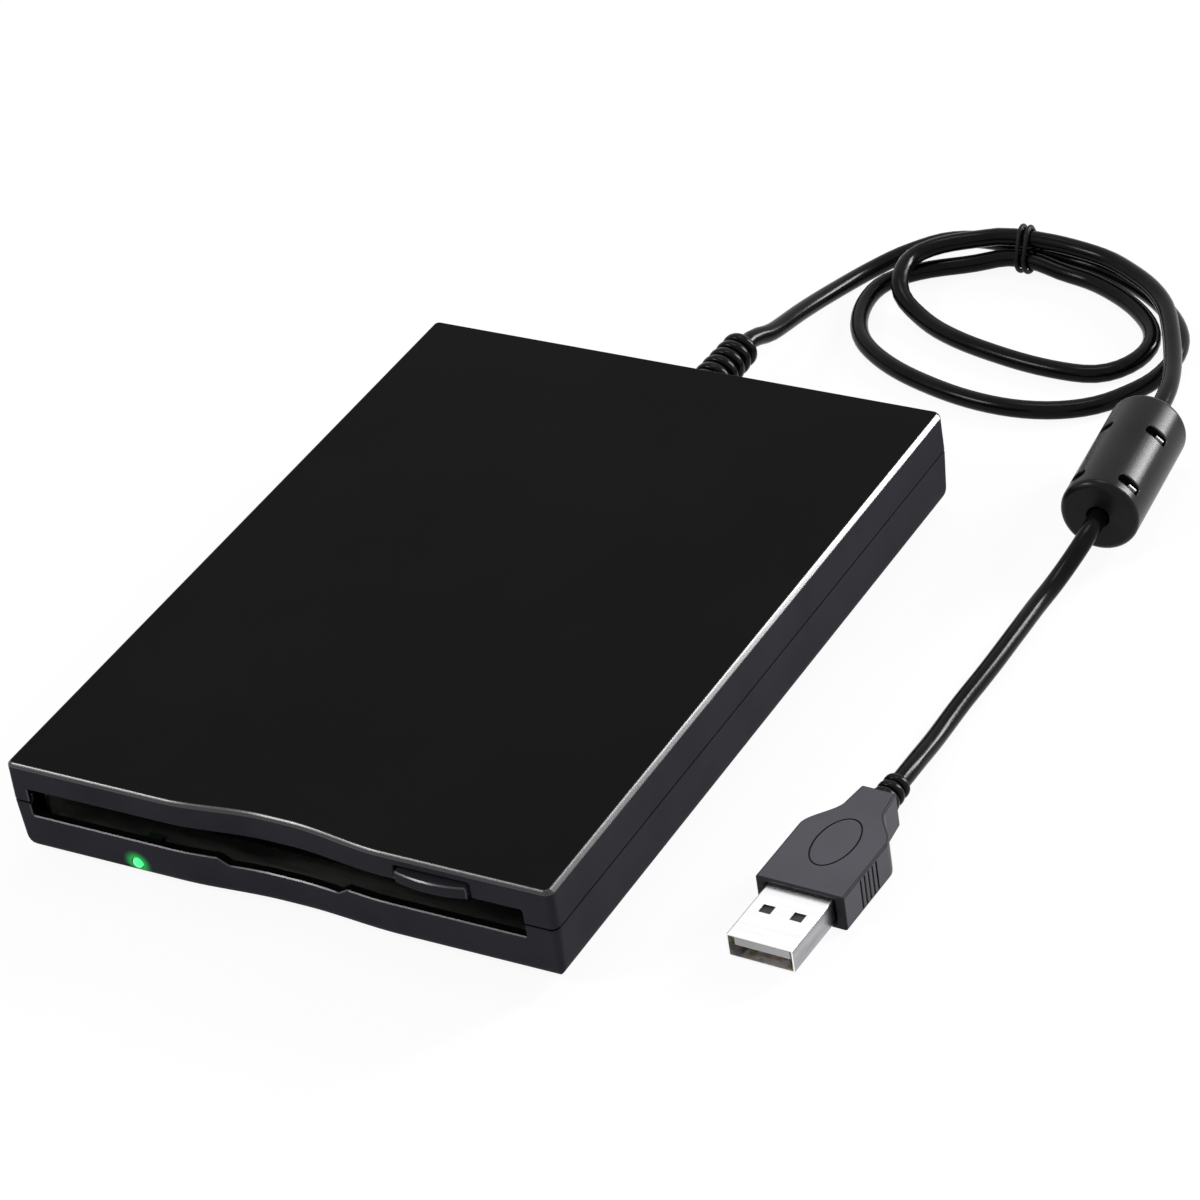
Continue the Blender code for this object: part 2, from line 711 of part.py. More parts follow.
def dip_at(z):
    """The front's dip at a height, deepest at the top."""
    share = (z - FOOT_H) / CASE_H
    return WAVE_DEEP_BOTTOM + (WAVE_DEEP_TOP - WAVE_DEEP_BOTTOM) * share


def rounded_rows(side_r, end_r, side_draft, end_draft, edge_z, direction):
    """Rows round an outer edge, from its flat face to its wall. direction is 1 for a top edge."""
    rows = []
    for i in range(EDGE_STEPS + 1):
        angle = math.pi / 2 * (1 - i / EDGE_STEPS)
        drop = max(side_r, end_r) * (1 - math.sin(angle))
        side = side_draft + side_r * (1 - math.cos(angle))
        end = end_draft + end_r * (1 - math.cos(angle))
        z = edge_z - direction * drop
        rows.append((side, end, z, dip_at(z)))
    return rows


def make_top_cover(drive):
    wall = CASE_WALL
    rim = SPLIT + SEAM / 2
    rebate = CASE_WALL - LIP_T - GAP
    step = SPLIT + LIP_RISE + GAP
    rows = rounded_rows(COVER_SIDE_R, COVER_FRONT_R, COVER_DRAFT, COVER_DRAFT, CASE_TOP, 1)
    rows += [
        (0, 0, rim, dip_at(rim)),
        (rebate, rebate, rim, dip_at(rim)),
        (rebate, rebate, step, dip_at(step)),
        (wall, wall, step, dip_at(step)),
        (wall + COVER_DRAFT, wall + COVER_DRAFT, INNER_TOP, dip_at(INNER_TOP)),
    ]
    cover = loft_case("top_cover", rows, "cover_plastic", drive)
    for side in (-1, 1):
        x = side * CASE_SCREW_X
        boss_r = CASE_SCREW_R + GAP + CASE_BOSS_WALL
        fuse(cover, rod(f"cover_boss_{side}", boss_r, (x, SCREW_BOSS_Y, BOSS_MEET + GAP),
                        (x, SCREW_BOSS_Y, INNER_TOP + OVERRUN), ROUND_SIDES, parent=drive, tool=True))
        cut(cover, rod(f"cover_boss_hole_{side}", CASE_SCREW_R + GAP, (x, SCREW_BOSS_Y, BOSS_MEET - OVERRUN),
                       (x, SCREW_BOSS_Y, INNER_TOP - CASE_WALL), SMALL_SIDES, parent=drive, tool=True))
    cut(cover, slot_tool("cover_slot_tool", drive), button_hole_tool(drive), neck_tool("cover_neck_tool", drive))
    return cover


def slot_tool(name, drive):
    """The disk slot with the finger notch in its lower lip."""
    outline = [
        (-SLOT_LEFT, SLOT_FLOOR), (-NOTCH_HALF_TOP, SLOT_FLOOR), (-NOTCH_HALF_FLOOR, SLOT_FLOOR - NOTCH_DEEP),
        (NOTCH_HALF_FLOOR, SLOT_FLOOR - NOTCH_DEEP), (NOTCH_HALF_TOP, SLOT_FLOOR), (SLOT_RIGHT, SLOT_FLOOR),
        (SLOT_RIGHT, SLOT_TOP), (-SLOT_LEFT, SLOT_TOP),
    ]
    return section_along_y(name, outline, FRONT - OVERRUN, FRONT_IN + CASE_DRAFT + WAVE_DEEP_TOP + GAP,
                           parent=drive, tool=True)


def button_hole_tool(drive):
    half = BUTTON_W / 2 + GAP
    return box("button_hole_tool", (BUTTON_X - half, FRONT - OVERRUN, SLOT_TOP - OVERRUN),
               (BUTTON_X + half, FRONT_IN + 2 * COVER_DRAFT + GAP, SLOT_TOP + BUTTON_H + 2 * GAP),
               parent=drive, tool=True)


def neck_tool(name, drive):
    return rod(name, BOOT_NECK_R + GAP, (0, BACK_IN - OVERRUN - CASE_DRAFT, BOOT_Z),
               (0, BACK + OVERRUN, BOOT_Z), ROUND_SIDES, parent=drive, tool=True)


def post(case, drive, name, x, y, radius, top, hole_r=None, hole_bottom=None, sides=ROUND_SIDES):
    """A post standing on the case's floor, with a hole from its top where one is wanted."""
    fuse(case, rod(f"{name}_post", radius, (x, y, INNER_FLOOR - OVERRUN / 2), (x, y, top), sides,
                   parent=drive, tool=True))
    if hole_r:
        cut(case, rod(f"{name}_hole", hole_r, (x, y, hole_bottom), (x, y, top + OVERRUN), SMALL_SIDES,
                      parent=drive, tool=True))


def make_bottom_case(drive):
    wall = CASE_WALL
    lip_out = wall - LIP_T
    rim = SPLIT - SEAM / 2
    lip_top = SPLIT + LIP_RISE
    edge = rounded_rows(CASE_EDGE_R, CASE_EDGE_R, CASE_DRAFT, CASE_DRAFT, FOOT_H, -1)
    rows = edge + [
        (0, 0, rim, dip_at(rim)),
        (lip_out, lip_out, rim, dip_at(rim)),
        (lip_out, lip_out, lip_top, dip_at(lip_top)),
        (wall, wall, lip_top, dip_at(lip_top)),
        (wall + CASE_DRAFT, wall + CASE_DRAFT, INNER_FLOOR, dip_at(INNER_FLOOR)),
    ]
    case = loft_case("bottom_case", rows, "case_plastic", drive)
    for side in (-1, 1):
        for n, y in enumerate(CHASSIS_SCREW_YS):
            post(case, drive, f"chassis_{side}_{n}", MECH_X + side * CHASSIS_SCREW_X, y, CHASSIS_POST_R,
                 CHASSIS_BOTTOM - GAP, CHASSIS_SCREW_R + GAP, INNER_FLOOR - CASE_WALL / 2)
        boss_r = CASE_SCREW_HEAD_R + GAP + CASE_BOSS_WALL
        x = side * CASE_SCREW_X
        post(case, drive, f"case_{side}", x, SCREW_BOSS_Y, boss_r, BOSS_MEET, CASE_SCREW_R + GAP,
             FOOT_H - OVERRUN)
        cut(case, rod(f"counterbore_{side}", CASE_SCREW_HEAD_R + GAP, (x, SCREW_BOSS_Y, FOOT_H - OVERRUN),
                      (x, SCREW_BOSS_Y, FOOT_H + CASE_SCREW_HEAD_H + 2 * GAP), ROUND_SIDES,
                      parent=drive, tool=True))
        post(case, drive, f"board_{side}", side * USB_POST_X, USB_BOARD_Y, USB_POST_R,
             USB_BOARD_BOTTOM - GAP, sides=SMALL_SIDES)
        for n, y in enumerate((-FOOT_Y, FOOT_Y)):
            cut(case, rod(f"foot_recess_{side}_{n}", FOOT_R + GAP, (side * FOOT_X, y, FOOT_H - OVERRUN),
                          (side * FOOT_X, y, FOOT_H + FOOT_SUNK), ROUND_SIDES, parent=drive, tool=True))
    cut(case, slot_tool("case_slot_tool", drive), neck_tool("case_neck_tool", drive),
        rod("lens_hole", LED_R + GAP, (LED_X, FRONT - OVERRUN, LED_Z),
            (LED_X, FRONT_IN + CASE_DRAFT + GAP, LED_Z), SMALL_SIDES, parent=drive, tool=True))
    return case


def make_small_case_pieces(drive):
    for side, side_word in ((-1, "left"), (1, "right")):
        for y, end_word in ((-FOOT_Y, "front"), (FOOT_Y, "rear")):
            top = FOOT_H + FOOT_SUNK - GAP
            rod(f"foot_{end_word}_{side_word}", FOOT_R, (side * FOOT_X, y, 0), (side * FOOT_X, y, top),
                ROUND_SIDES, "black_rubber", drive)
        screw_from_below(f"case_screw_{side_word}", side * CASE_SCREW_X, SCREW_BOSS_Y, drive)
    rod("led_lens", LED_R, (LED_X, LED_FRONT, LED_Z), (LED_X, MECH_FRONT - GAP, LED_Z), SMALL_SIDES,
        "green_lens", drive)
    bottom = INNER_FLOOR + GAP
    box("led_diode", (LED_X - DIODE_W / 2, MECH_FRONT, bottom),
        (LED_X + DIODE_W / 2, MECH_FRONT + DIODE_D, bottom + DIODE_H), "white_plastic", drive)


def screw_profile(head_r, head_h, shank_r, length):
    """A screw pointing down from the underside of its head at height zero."""
    return [(0, head_h), (head_r, head_h), (head_r, 0), (shank_r, 0), (shank_r, -length), (0, -length)]


def cross_recess(target, name, head_r, head_h, location, parent, rotation=None):
    """The cross that a driver turns, sunk in the head's outer face."""
    depth = head_h / 2
    arm = head_r / 6
    reach = head_r * 3 / 5
    for n, (half_x, half_y) in enumerate(((reach, arm), (arm, reach))):
        bm = bmesh.new()
        bmesh.ops.create_cube(bm, size=1)
        bmesh.ops.scale(bm, vec=(2 * half_x, 2 * half_y, 2 * depth), verts=bm.verts)
        bmesh.ops.translate(bm, vec=(0, 0, head_h), verts=bm.verts)
        cut(target, place(f"{name}_cross_{n}", mesh_from(bm, name), None, parent, location, rotation, True))


def screw_from_below(name, x, y, parent):
    """A case screw, head down in its counterbore, its end in the cover's boss."""
    head_top = FOOT_H + CASE_SCREW_HEAD_H + GAP
    length = BOSS_MEET + CASE_SCREW_GRIP - head_top
    over = (math.pi, 0, 0)
    profile = screw_profile(CASE_SCREW_HEAD_R, CASE_SCREW_HEAD_H, CASE_SCREW_R, length)
    screw = turned(name, profile, SMALL_SIDES, (x, y, head_top), "bright_steel", parent, over)
    cross_recess(screw, name, CASE_SCREW_HEAD_R, CASE_SCREW_HEAD_H, (x, y, head_top), parent, over)


def make_chassis_screws(mech):
    words = (("front_left", -1, 0), ("front_right", 1, 0), ("rear_left", -1, 1), ("rear_right", 1, 1))
    for word, side, n in words:
        place_z = CHASSIS_FLOOR + GAP
        profile = screw_profile(CHASSIS_SCREW_HEAD_R, CHASSIS_SCREW_HEAD_H, CHASSIS_SCREW_R, CHASSIS_SCREW_L)
        turned(f"chassis_screw_{word}", profile, SMALL_SIDES,
               (side * CHASSIS_SCREW_X, CHASSIS_SCREW_YS[n], place_z), "bright_steel", mech)


def make_eject_button(drive):
    """The button's front is bowed, and its back hooks over the eject plate's tongue."""
    half = BUTTON_W / 2
    front = FRONT - BUTTON_PROUD
    sag = BUTTON_BOW
    radius = (half * half + sag * sag) / (2 * sag)
    spread = math.asin(half / radius)
    bow = arc(0, front + radius, radius, -math.pi / 2 - spread, -math.pi / 2 + spread, SMALL_SIDES)
    back = front + BUTTON_LONG
    outline = bow + [(half, back), (-half, back)]
    bottom = SLOT_TOP
    button = slab("eject_button", [outline], bottom, bottom + BUTTON_H, "button_plastic", drive,
                  at=(BUTTON_X, 0))
    bevel(button, BUTTON_EDGE_R)
    tongue_half = EJECT_TONGUE_W / 2 + GAP
    cut(button, box("tongue_socket", (BUTTON_X - tongue_half, back - BUTTON_SOCKET, bottom - OVERRUN),
                    (BUTTON_X + tongue_half, back + OVERRUN, EJECT_TOP + GAP), parent=drive, tool=True))


def make_chassis(mech):
    out, inner = CHASSIS_OUT, CHASSIS_IN
    outline = [
        (-out, CHASSIS_BOTTOM), (out, CHASSIS_BOTTOM), (out, CHASSIS_TOP), (inner, CHASSIS_TOP),
        (inner, CHASSIS_FLOOR), (-inner, CHASSIS_FLOOR), (-inner, CHASSIS_TOP), (-out, CHASSIS_TOP),
    ]
    chassis = section_along_y("chassis", outline, MECH_FRONT, MECH_BACK, "bright_steel", mech)
    low = CHASSIS_FLOOR - CHASSIS_T / 2
    for side in (-1, 1):
        x = side * ROD_X
        half = ROD_BLOCK_W / 2
        fuse(chassis,
             box(f"rod_block_front_{side}", (x - half, ROD_FRONT, low), (x + half, ROD_FRONT + ROD_BLOCK_L, SLED_TOP),
                 parent=mech, tool=True),
             box(f"rod_block_back_{side}", (x - half, ROD_BACK - ROD_BLOCK_L, low), (x + half, ROD_BACK, SLED_TOP),
                 parent=mech, tool=True))
        cut(chassis, rod(f"rod_seat_{side}", ROD_R + SLIDING_FIT, (x, ROD_FRONT - OVERRUN, ROD_Z),
                         (x, ROD_BACK + OVERRUN, ROD_Z), SMALL_SIDES, parent=mech, tool=True))
        for n, y in enumerate(CAM_PIN_YS):
            half_slot = CAM_PIN_R + GAP
            cut(chassis, box(f"lift_slot_{side}_{n}",
                             (side * out - CHASSIS_T - GAP, y - half_slot, CAM_PIN_Z - CRADLE_DROP - half_slot),
                             (side * out + CHASSIS_T + GAP, y + half_slot, CAM_PIN_Z + half_slot),
                             parent=mech, tool=True))
        for n, y in enumerate(CHASSIS_SCREW_YS):
            cut(chassis, rod(f"screw_clear_{side}_{n}", CHASSIS_SCREW_R + GAP,
                             (side * CHASSIS_SCREW_X, y, CHASSIS_BOTTOM - OVERRUN),
                             (side * CHASSIS_SCREW_X, y, CHASSIS_FLOOR + OVERRUN), SMALL_SIDES,
                             parent=mech, tool=True))
    fuse(chassis,
         box("screw_bracket", (SCREW_X - BRACKET_W / 2, BRACKET_FRONT, low),
             (SCREW_X + BRACKET_W / 2, BRACKET_BACK, SCREW_Z + SCREW_R + SLIDING_FIT + BRACKET_ABOVE),
             parent=mech, tool=True),
         box("spring_tab", (-CHASSIS_IN - CHASSIS_T / 2, SPRING_TAB_Y, SPRING_Z - SPRING_R),
             (SPRING_X + SPRING_R, SPRING_TAB_Y + SPRING_TAB_T, SPRING_Z + SPRING_R), parent=mech, tool=True))
    led_x = LED_X - MECH_X
    cut(chassis,
        rod("screw_seat", SCREW_R + SLIDING_FIT, (SCREW_X, BRACKET_FRONT - OVERRUN, SCREW_Z),
            (SCREW_X, BRACKET_BACK + OVERRUN, SCREW_Z), SMALL_SIDES, parent=mech, tool=True),
        rod("spindle_hole", BEARING_R + GAP, (0, SPINDLE_Y, CHASSIS_BOTTOM - OVERRUN),
            (0, SPINDLE_Y, CHASSIS_FLOOR + OVERRUN), ROUND_SIDES, parent=mech, tool=True),
        rod("flap_pin_holes", FLAP_PIN_R + SLIDING_FIT, (-out - OVERRUN, FLAP_PIN_Y, FLAP_PIN_Z),
            (out + OVERRUN, FLAP_PIN_Y, FLAP_PIN_Z), SMALL_SIDES, parent=mech, tool=True),
        box("diode_notch", (led_x - DIODE_W / 2 - GAP, MECH_FRONT - OVERRUN, CHASSIS_BOTTOM - OVERRUN),
            (led_x + DIODE_W / 2 + GAP, MECH_FRONT + DIODE_NOTCH_D, CHASSIS_FLOOR + OVERRUN),
            parent=mech, tool=True))


def make_shield(mech):
    outer = rectangle(-CHASSIS_OUT, CHASSIS_OUT, MECH_FRONT, MECH_BACK)
    window = rectangle(-SHIELD_WINDOW_HALF, SHIELD_WINDOW_HALF, HEAD_Y - HEAD_TRAVEL, EAR_BACK)
    shield = slab("shield_cover", [outer, window], SHIELD_BOTTOM, SHIELD_BOTTOM + SHIELD_T, "bright_steel", mech)
    button_x = BUTTON_X - MECH_X
    half = BUTTON_W / 2 + GAP
    cut(shield, box("shield_notch", (button_x - half, MECH_FRONT - OVERRUN, SHIELD_BOTTOM - OVERRUN),
                    (button_x + half, FRONT - BUTTON_PROUD + BUTTON_LONG + GAP, SHIELD_BOTTOM + SHIELD_T + OVERRUN),
                    parent=mech, tool=True))


def lever_slot():
    """The curved slot that the shutter lever's pin moves in, about the lever's pivot."""
    half = LEVER_PIN_R + GAP
    start, end = LEVER_REST, LEVER_REST + LEVER_SWING
    points = arc(0, 0, LEVER_R + half, start, end, SMALL_SIDES)
    tip = (LEVER_R * math.cos(end), LEVER_R * math.sin(end))
    points += arc(*tip, half, end, end + math.pi, SMALL_SIDES // 2)[1:]
    points += arc(0, 0, LEVER_R - half, end, start, SMALL_SIDES)[1:]
    tip = (LEVER_R * math.cos(start), LEVER_R * math.sin(start))
    points += arc(*tip, half, start + math.pi, start + math.tau, SMALL_SIDES // 2)[1:-1]
    return points


def make_cradle(mech):
    out, inner, lip = CRADLE_OUT, CRADLE_IN, CRADLE_IN - CRADLE_LIP_W
    outline = [
        (-out, LIP_UNDER), (-lip, LIP_UNDER), (-lip, LIP_TOP), (-inner, LIP_TOP), (-inner, LID_UNDER),
        (inner, LID_UNDER), (inner, LIP_TOP), (lip, LIP_TOP), (lip, LIP_UNDER), (out, LIP_UNDER),
        (out, LID_TOP), (-out, LID_TOP),
    ]
    cradle = section_along_y("disk_cradle", outline, CRADLE_FRONT, CRADLE_BACK, "bright_steel", mech)
    for side in (-1, 1):
        for n, y in enumerate(CAM_PIN_YS):
            fuse(cradle, rod(f"cradle_pin_{side}_{n}", CAM_PIN_R, (side * (out - CRADLE_T / 2), y, CAM_PIN_Z),
                             (side * (CHASSIS_OUT - GAP), y, CAM_PIN_Z), SMALL_SIDES, parent=mech, tool=True))
    low, high = LID_UNDER - OVERRUN, LID_TOP + OVERRUN
    cut(cradle,
        box("head_window", (-CRADLE_WINDOW_HALF, HEAD_Y - HEAD_TRAVEL - CRADLE_WINDOW_ROOM, low),
            (CRADLE_WINDOW_HALF, CRADLE_BACK + OVERRUN, high), parent=mech, tool=True),
        slab("lever_slot_tool", [lever_slot()], low, high, parent=mech, tool=True, at=(LEVER_X, LEVER_Y)),
        rod("rivet_hole", LEVER_RIVET_R + SLIDING_FIT, (LEVER_X, LEVER_Y, low), (LEVER_X, LEVER_Y, high),
            SMALL_SIDES, parent=mech, tool=True))


def make_shutter_lever(mech):
    """A flat link that turns on the cradle's lid, with a pin down into the disk's path."""
    tip = (LEVER_R * math.cos(LEVER_REST), LEVER_R * math.sin(LEVER_REST))
    lean = math.asin((LEVER_HUB_R - LEVER_TIP_R) / LEVER_R)
    quarter = math.pi / 2
    outline = arc(0, 0, LEVER_HUB_R, LEVER_REST + quarter - lean, LEVER_REST + 3 * quarter + lean, SMALL_SIDES)
    outline += arc(*tip, LEVER_TIP_R, LEVER_REST - quarter + lean, LEVER_REST + quarter - lean, SMALL_SIDES)
    lever = slab("shutter_lever", [outline], EJECT_UNDER, EJECT_UNDER + LEVER_T, "bright_steel", mech,
                 at=(LEVER_X, LEVER_Y))
    middle = EJECT_UNDER + LEVER_T / 2
    fuse(lever,
         rod("lever_rivet", LEVER_RIVET_R, (LEVER_X, LEVER_Y, LID_UNDER), (LEVER_X, LEVER_Y, middle),
             SMALL_SIDES, parent=mech, tool=True),
         rod("lever_pin", LEVER_PIN_R, (LEVER_X + tip[0], LEVER_Y + tip[1], LID_UNDER - LEVER_PIN_DOWN),
             (LEVER_X + tip[0], LEVER_Y + tip[1], middle), SMALL_SIDES, parent=mech, tool=True))


def make_eject_plate(mech):
    out, inner = FLANGE_OUT, FLANGE_IN
    outline = [
        (-out, FLANGE_BOTTOM), (-inner, FLANGE_BOTTOM), (-inner, EJECT_UNDER), (inner, EJECT_UNDER),
        (inner, FLANGE_BOTTOM), (out, FLANGE_BOTTOM), (out, EJECT_TOP), (-out, EJECT_TOP),
    ]
    plate = section_along_y("eject_plate", outline, EJECT_FRONT, EJECT_BACK, "bright_steel", mech)
    tongue_x = BUTTON_X - MECH_X
    tongue_front = FRONT - BUTTON_PROUD + BUTTON_LONG - BUTTON_SOCKET + GAP
    half = EJECT_TONGUE_W / 2
    fuse(plate, box("eject_tongue", (tongue_x - half, tongue_front, EJECT_UNDER),
                    (tongue_x + half, EJECT_FRONT + OVERRUN, EJECT_TOP), parent=mech, tool=True))
    window_front = LEVER_Y - LEVER_R - EJECT_WINDOW_ROOM
    cut(plate, box("eject_window", (-out + EJECT_ARM_LEFT, window_front, EJECT_UNDER - OVERRUN),
                   (EAR_OUT + EJECT_WINDOW_RIGHT, EJECT_BACK + OVERRUN, EJECT_TOP + OVERRUN),
                   parent=mech, tool=True))
    for side in (-1, 1):
        middle = side * (out + inner) / 2
        reach = EJECT_PLATE_T / 2 + GAP / 2
        cut(plate, box(f"flange_front_{side}", (middle - reach, EJECT_FRONT - OVERRUN, FLANGE_BOTTOM - OVERRUN),
                       (middle + reach, FLANGE_FRONT, EJECT_UNDER), parent=mech, tool=True))
        for n, y in enumerate(CAM_PIN_YS):
            cut(plate, section_along_x(f"cam_slot_{side}_{n}", cam_slot(y), middle - reach, middle + reach,
                                       parent=mech, tool=True))


def cam_slot(y):
    """A slanted slot: as the plate comes forward, the pin moves back and down in it."""
    lean = math.atan2(CRADLE_DROP, EJECT_TRAVEL)
    half = CAM_PIN_R + GAP
    quarter = math.pi / 2
    top = arc(y, CAM_PIN_Z, half, quarter - lean, 3 * quarter - lean, SMALL_SIDES // 2)
    low = arc(y + EJECT_TRAVEL, CAM_PIN_Z - CRADLE_DROP, half, -quarter - lean, quarter - lean, SMALL_SIDES // 2)
    return top + low


def make_flap(mech):
    half = CHASSIS_IN - GAP
    flap = section_along_x("dust_flap", rectangle(FLAP_PIN_Y - FLAP_T / 2, FLAP_PIN_Y + FLAP_T / 2, FLAP_BOTTOM,
                                                  FLAP_PIN_Z), -half, half, "case_plastic", mech,
                           pivot=(FLAP_PIN_Y, FLAP_PIN_Z))
    fuse(flap, rod("flap_pin", FLAP_PIN_R, (-CHASSIS_OUT, FLAP_PIN_Y, FLAP_PIN_Z),
                   (CHASSIS_OUT, FLAP_PIN_Y, FLAP_PIN_Z), SMALL_SIDES, parent=mech, tool=True))


def make_spindle(mech):
    shaft_bottom = CHASSIS_BOTTOM + GAP
    skirt = ROOF_TOP - ROTOR_SKIRT_H
    profile = [
        (0, DISK_DOWN + SPINDLE_TIP), (SPINDLE_R, DISK_DOWN + SPINDLE_TIP), (SPINDLE_R, DISK_DOWN),
        (HUB_R, DISK_DOWN), (HUB_R, ROOF_TOP), (ROTOR_R, ROOF_TOP), (ROTOR_R, skirt),
        (ROTOR_R - ROTOR_T, skirt), (ROTOR_R - ROTOR_T, ROOF_UNDER), (SPINDLE_R, ROOF_UNDER),
        (SPINDLE_R, shaft_bottom), (0, shaft_bottom),
    ]
    centre = (0, SPINDLE_Y, 0)
    rotor = turned("spindle_rotor", profile, FINE_SIDES, centre, "bright_steel", mech)
    pin = (DRIVE_PIN_AT, SPINDLE_Y)
    fuse(rotor, rod("drive_pin", DRIVE_PIN_R, (*pin, DISK_DOWN - HUB_STEP / 2), (*pin, DISK_DOWN + DRIVE_PIN_UP),
                    SMALL_SIDES, parent=mech, tool=True))
    bore = SPINDLE_R + GAP
    flange = BEARING_R + BEARING_FLANGE
    sleeve = [
        (bore, ROOF_UNDER - GAP), (BEARING_R, ROOF_UNDER - GAP), (BEARING_R, BOARD_TOP), (flange, BOARD_TOP),
        (flange, BOARD_BOTTOM), (BEARING_R, BOARD_BOTTOM), (BEARING_R, CHASSIS_BOTTOM), (bore, CHASSIS_BOTTOM),
    ]
    turned("spindle_bearing", sleeve, ROUND_SIDES, centre, "brass", mech, closed=True)
    coil_bottom = BOARD_TOP + GAP
    coil = [
        (STATOR_COIL_IN, coil_bottom + STATOR_COIL_T), (STATOR_COIL_OUT, coil_bottom + STATOR_COIL_T),
        (STATOR_COIL_OUT, coil_bottom), (STATOR_COIL_IN, coil_bottom),
    ]
    turned("stator_coils", coil, FINE_SIDES, centre, "copper", mech, closed=True)
    back = MECH_BACK - BOARD_MARGIN
    step_y = SPINDLE_Y + ROTOR_R
    outline = [
        (-BOARD_LEFT, SPINDLE_Y - ROTOR_R - BOARD_MARGIN), (BOARD_RIGHT, SPINDLE_Y - ROTOR_R - BOARD_MARGIN),
        (BOARD_RIGHT, step_y), (BOARD_STRIP_RIGHT, step_y), (BOARD_STRIP_RIGHT, back), (-BOARD_LEFT, back),
    ]
    slab("stator_board", [outline, ring(0, SPINDLE_Y, flange + GAP, ROUND_SIDES)], BOARD_BOTTOM, BOARD_TOP,
         "circuit_board", mech)


def make_carriage(mech):
    tongue_front = HEAD_Y - HEAD_SIDE / 2 - TONGUE_OVERHANG
    half = SLED_W / 2
    side = TONGUE_W / 2
    sled = box("head_carriage", (-half, SLED_FRONT, SLED_BOTTOM), (half, SLED_BACK, SLED_TOP), "grey_plastic", mech)
    fuse(sled,
         box("sled_tongue", (-side, tongue_front, SLED_BOTTOM), (side, SLED_FRONT + OVERRUN, SLED_TOP),
             parent=mech, tool=True),
         box("ear_block", (-EAR_OUT, EAR_FRONT, SLED_TOP - SLED_H / 2), (EAR_OUT, EAR_BACK - GAP, EAR_TOP),
             parent=mech, tool=True),
         box("nut_arm", (EAR_OUT - EAR_W / 2, NUT_FRONT, SCREW_Z - SCREW_R - NUT_WALL),
             (SCREW_X + SCREW_R + NUT_WALL, NUT_BACK, SCREW_Z + SCREW_R + NUT_WALL), parent=mech, tool=True))
    cut(sled,
        box("ear_gap", (-EAR_IN, EAR_FRONT - OVERRUN, ARM_PIVOT_Z - ARM_HUB_H / 2 - 2 * GAP),
            (EAR_IN, EAR_BACK + OVERRUN, EAR_TOP + OVERRUN), parent=mech, tool=True),
        rod("pivot_holes", ARM_PIN_R + SLIDING_FIT, (-EAR_OUT - OVERRUN, ARM_PIVOT_Y, ARM_PIVOT_Z),
            (EAR_OUT + OVERRUN, ARM_PIVOT_Y, ARM_PIVOT_Z), SMALL_SIDES, parent=mech, tool=True),
        rod("nut_bore", SCREW_R + SLIDING_FIT, (SCREW_X, NUT_FRONT - OVERRUN, SCREW_Z),
            (SCREW_X, NUT_BACK + OVERRUN, SCREW_Z), SMALL_SIDES, parent=mech, tool=True))
    for word, x in (("left", -ROD_X), ("right", ROD_X)):
        cut(sled, rod(f"rod_bore_{word}", ROD_R + SLIDING_FIT, (x, SLED_FRONT - OVERRUN, ROD_Z),
                      (x, SLED_BACK + OVERRUN, ROD_Z), SMALL_SIDES, parent=mech, tool=True))
        rod(f"guide_rod_{word}", ROD_R, (x, ROD_FRONT + ROD_END, ROD_Z), (x, ROD_BACK - ROD_END, ROD_Z),
            SMALL_SIDES, "nickel", mech)
    reach = HEAD_SIDE / 2
    box("lower_head", (-reach, HEAD_Y - reach, SLED_TOP + GAP), (reach, HEAD_Y + reach, LOWER_HEAD_TOP),
        "white_plastic", mech)


def make_head_arm(mech):
    """The arm's hub sits between the carriage's ears, and its pin turns in them."""
    hub = ARM_HUB_H / 2
    front = HEAD_Y - HEAD_SIDE / 2 - HEAD_ABOVE_DISK
    outline = [
        (ARM_PIVOT_Y + hub, ARM_PIVOT_Z - hub), (ARM_PIVOT_Y + hub, ARM_PIVOT_Z + hub),
        (ARM_PIVOT_Y - hub, ARM_TOP), (front, ARM_TOP), (front, ARM_UNDER),
        (ARM_PIVOT_Y - hub - ARM_T, ARM_UNDER), (ARM_PIVOT_Y - hub, ARM_PIVOT_Z - hub),
    ]
    arm = section_along_x("upper_head_arm", outline, -ARM_W / 2, ARM_W / 2, "grey_plastic", mech,
                          pivot=(ARM_PIVOT_Y, ARM_PIVOT_Z))
    fuse(arm, rod("arm_pin", ARM_PIN_R, (-EAR_OUT, ARM_PIVOT_Y, ARM_PIVOT_Z), (EAR_OUT, ARM_PIVOT_Y, ARM_PIVOT_Z),
                  SMALL_SIDES, parent=mech, tool=True))
    reach = HEAD_SIDE / 2
    box("upper_head", (-reach, HEAD_Y - reach, UPPER_HEAD_BOTTOM), (reach, HEAD_Y + reach, ARM_UNDER - GAP),
        "white_plastic", mech)


def make_stepper(mech):
    rod("stepper_motor", STEPPER_R, (SCREW_X, STEPPER_FRONT, SCREW_Z), (SCREW_X, STEPPER_BACK, SCREW_Z),
        ROUND_SIDES, "bright_steel", mech)
    rod("lead_screw", SCREW_R, (SCREW_X, BRACKET_FRONT, SCREW_Z), (SCREW_X, STEPPER_FRONT - GAP, SCREW_Z),
        SMALL_SIDES, "brass", mech)


def make_eject_spring(mech):
    """A spring drawn out between the plate's end and the chassis tab, wound by its formula."""
    points = []
    count = SPRING_TURNS * SPRING_STEPS
    for i in range(count + 1):
        angle = math.tau * i / SPRING_STEPS
        points.append((SPRING_X + SPRING_R * math.cos(angle), SPRING_Y + SPRING_L * i / count,
                       SPRING_Z + SPRING_R * math.sin(angle)))
    tube("eject_spring", points, SPRING_WIRE_R, 0, "bright_steel", mech)


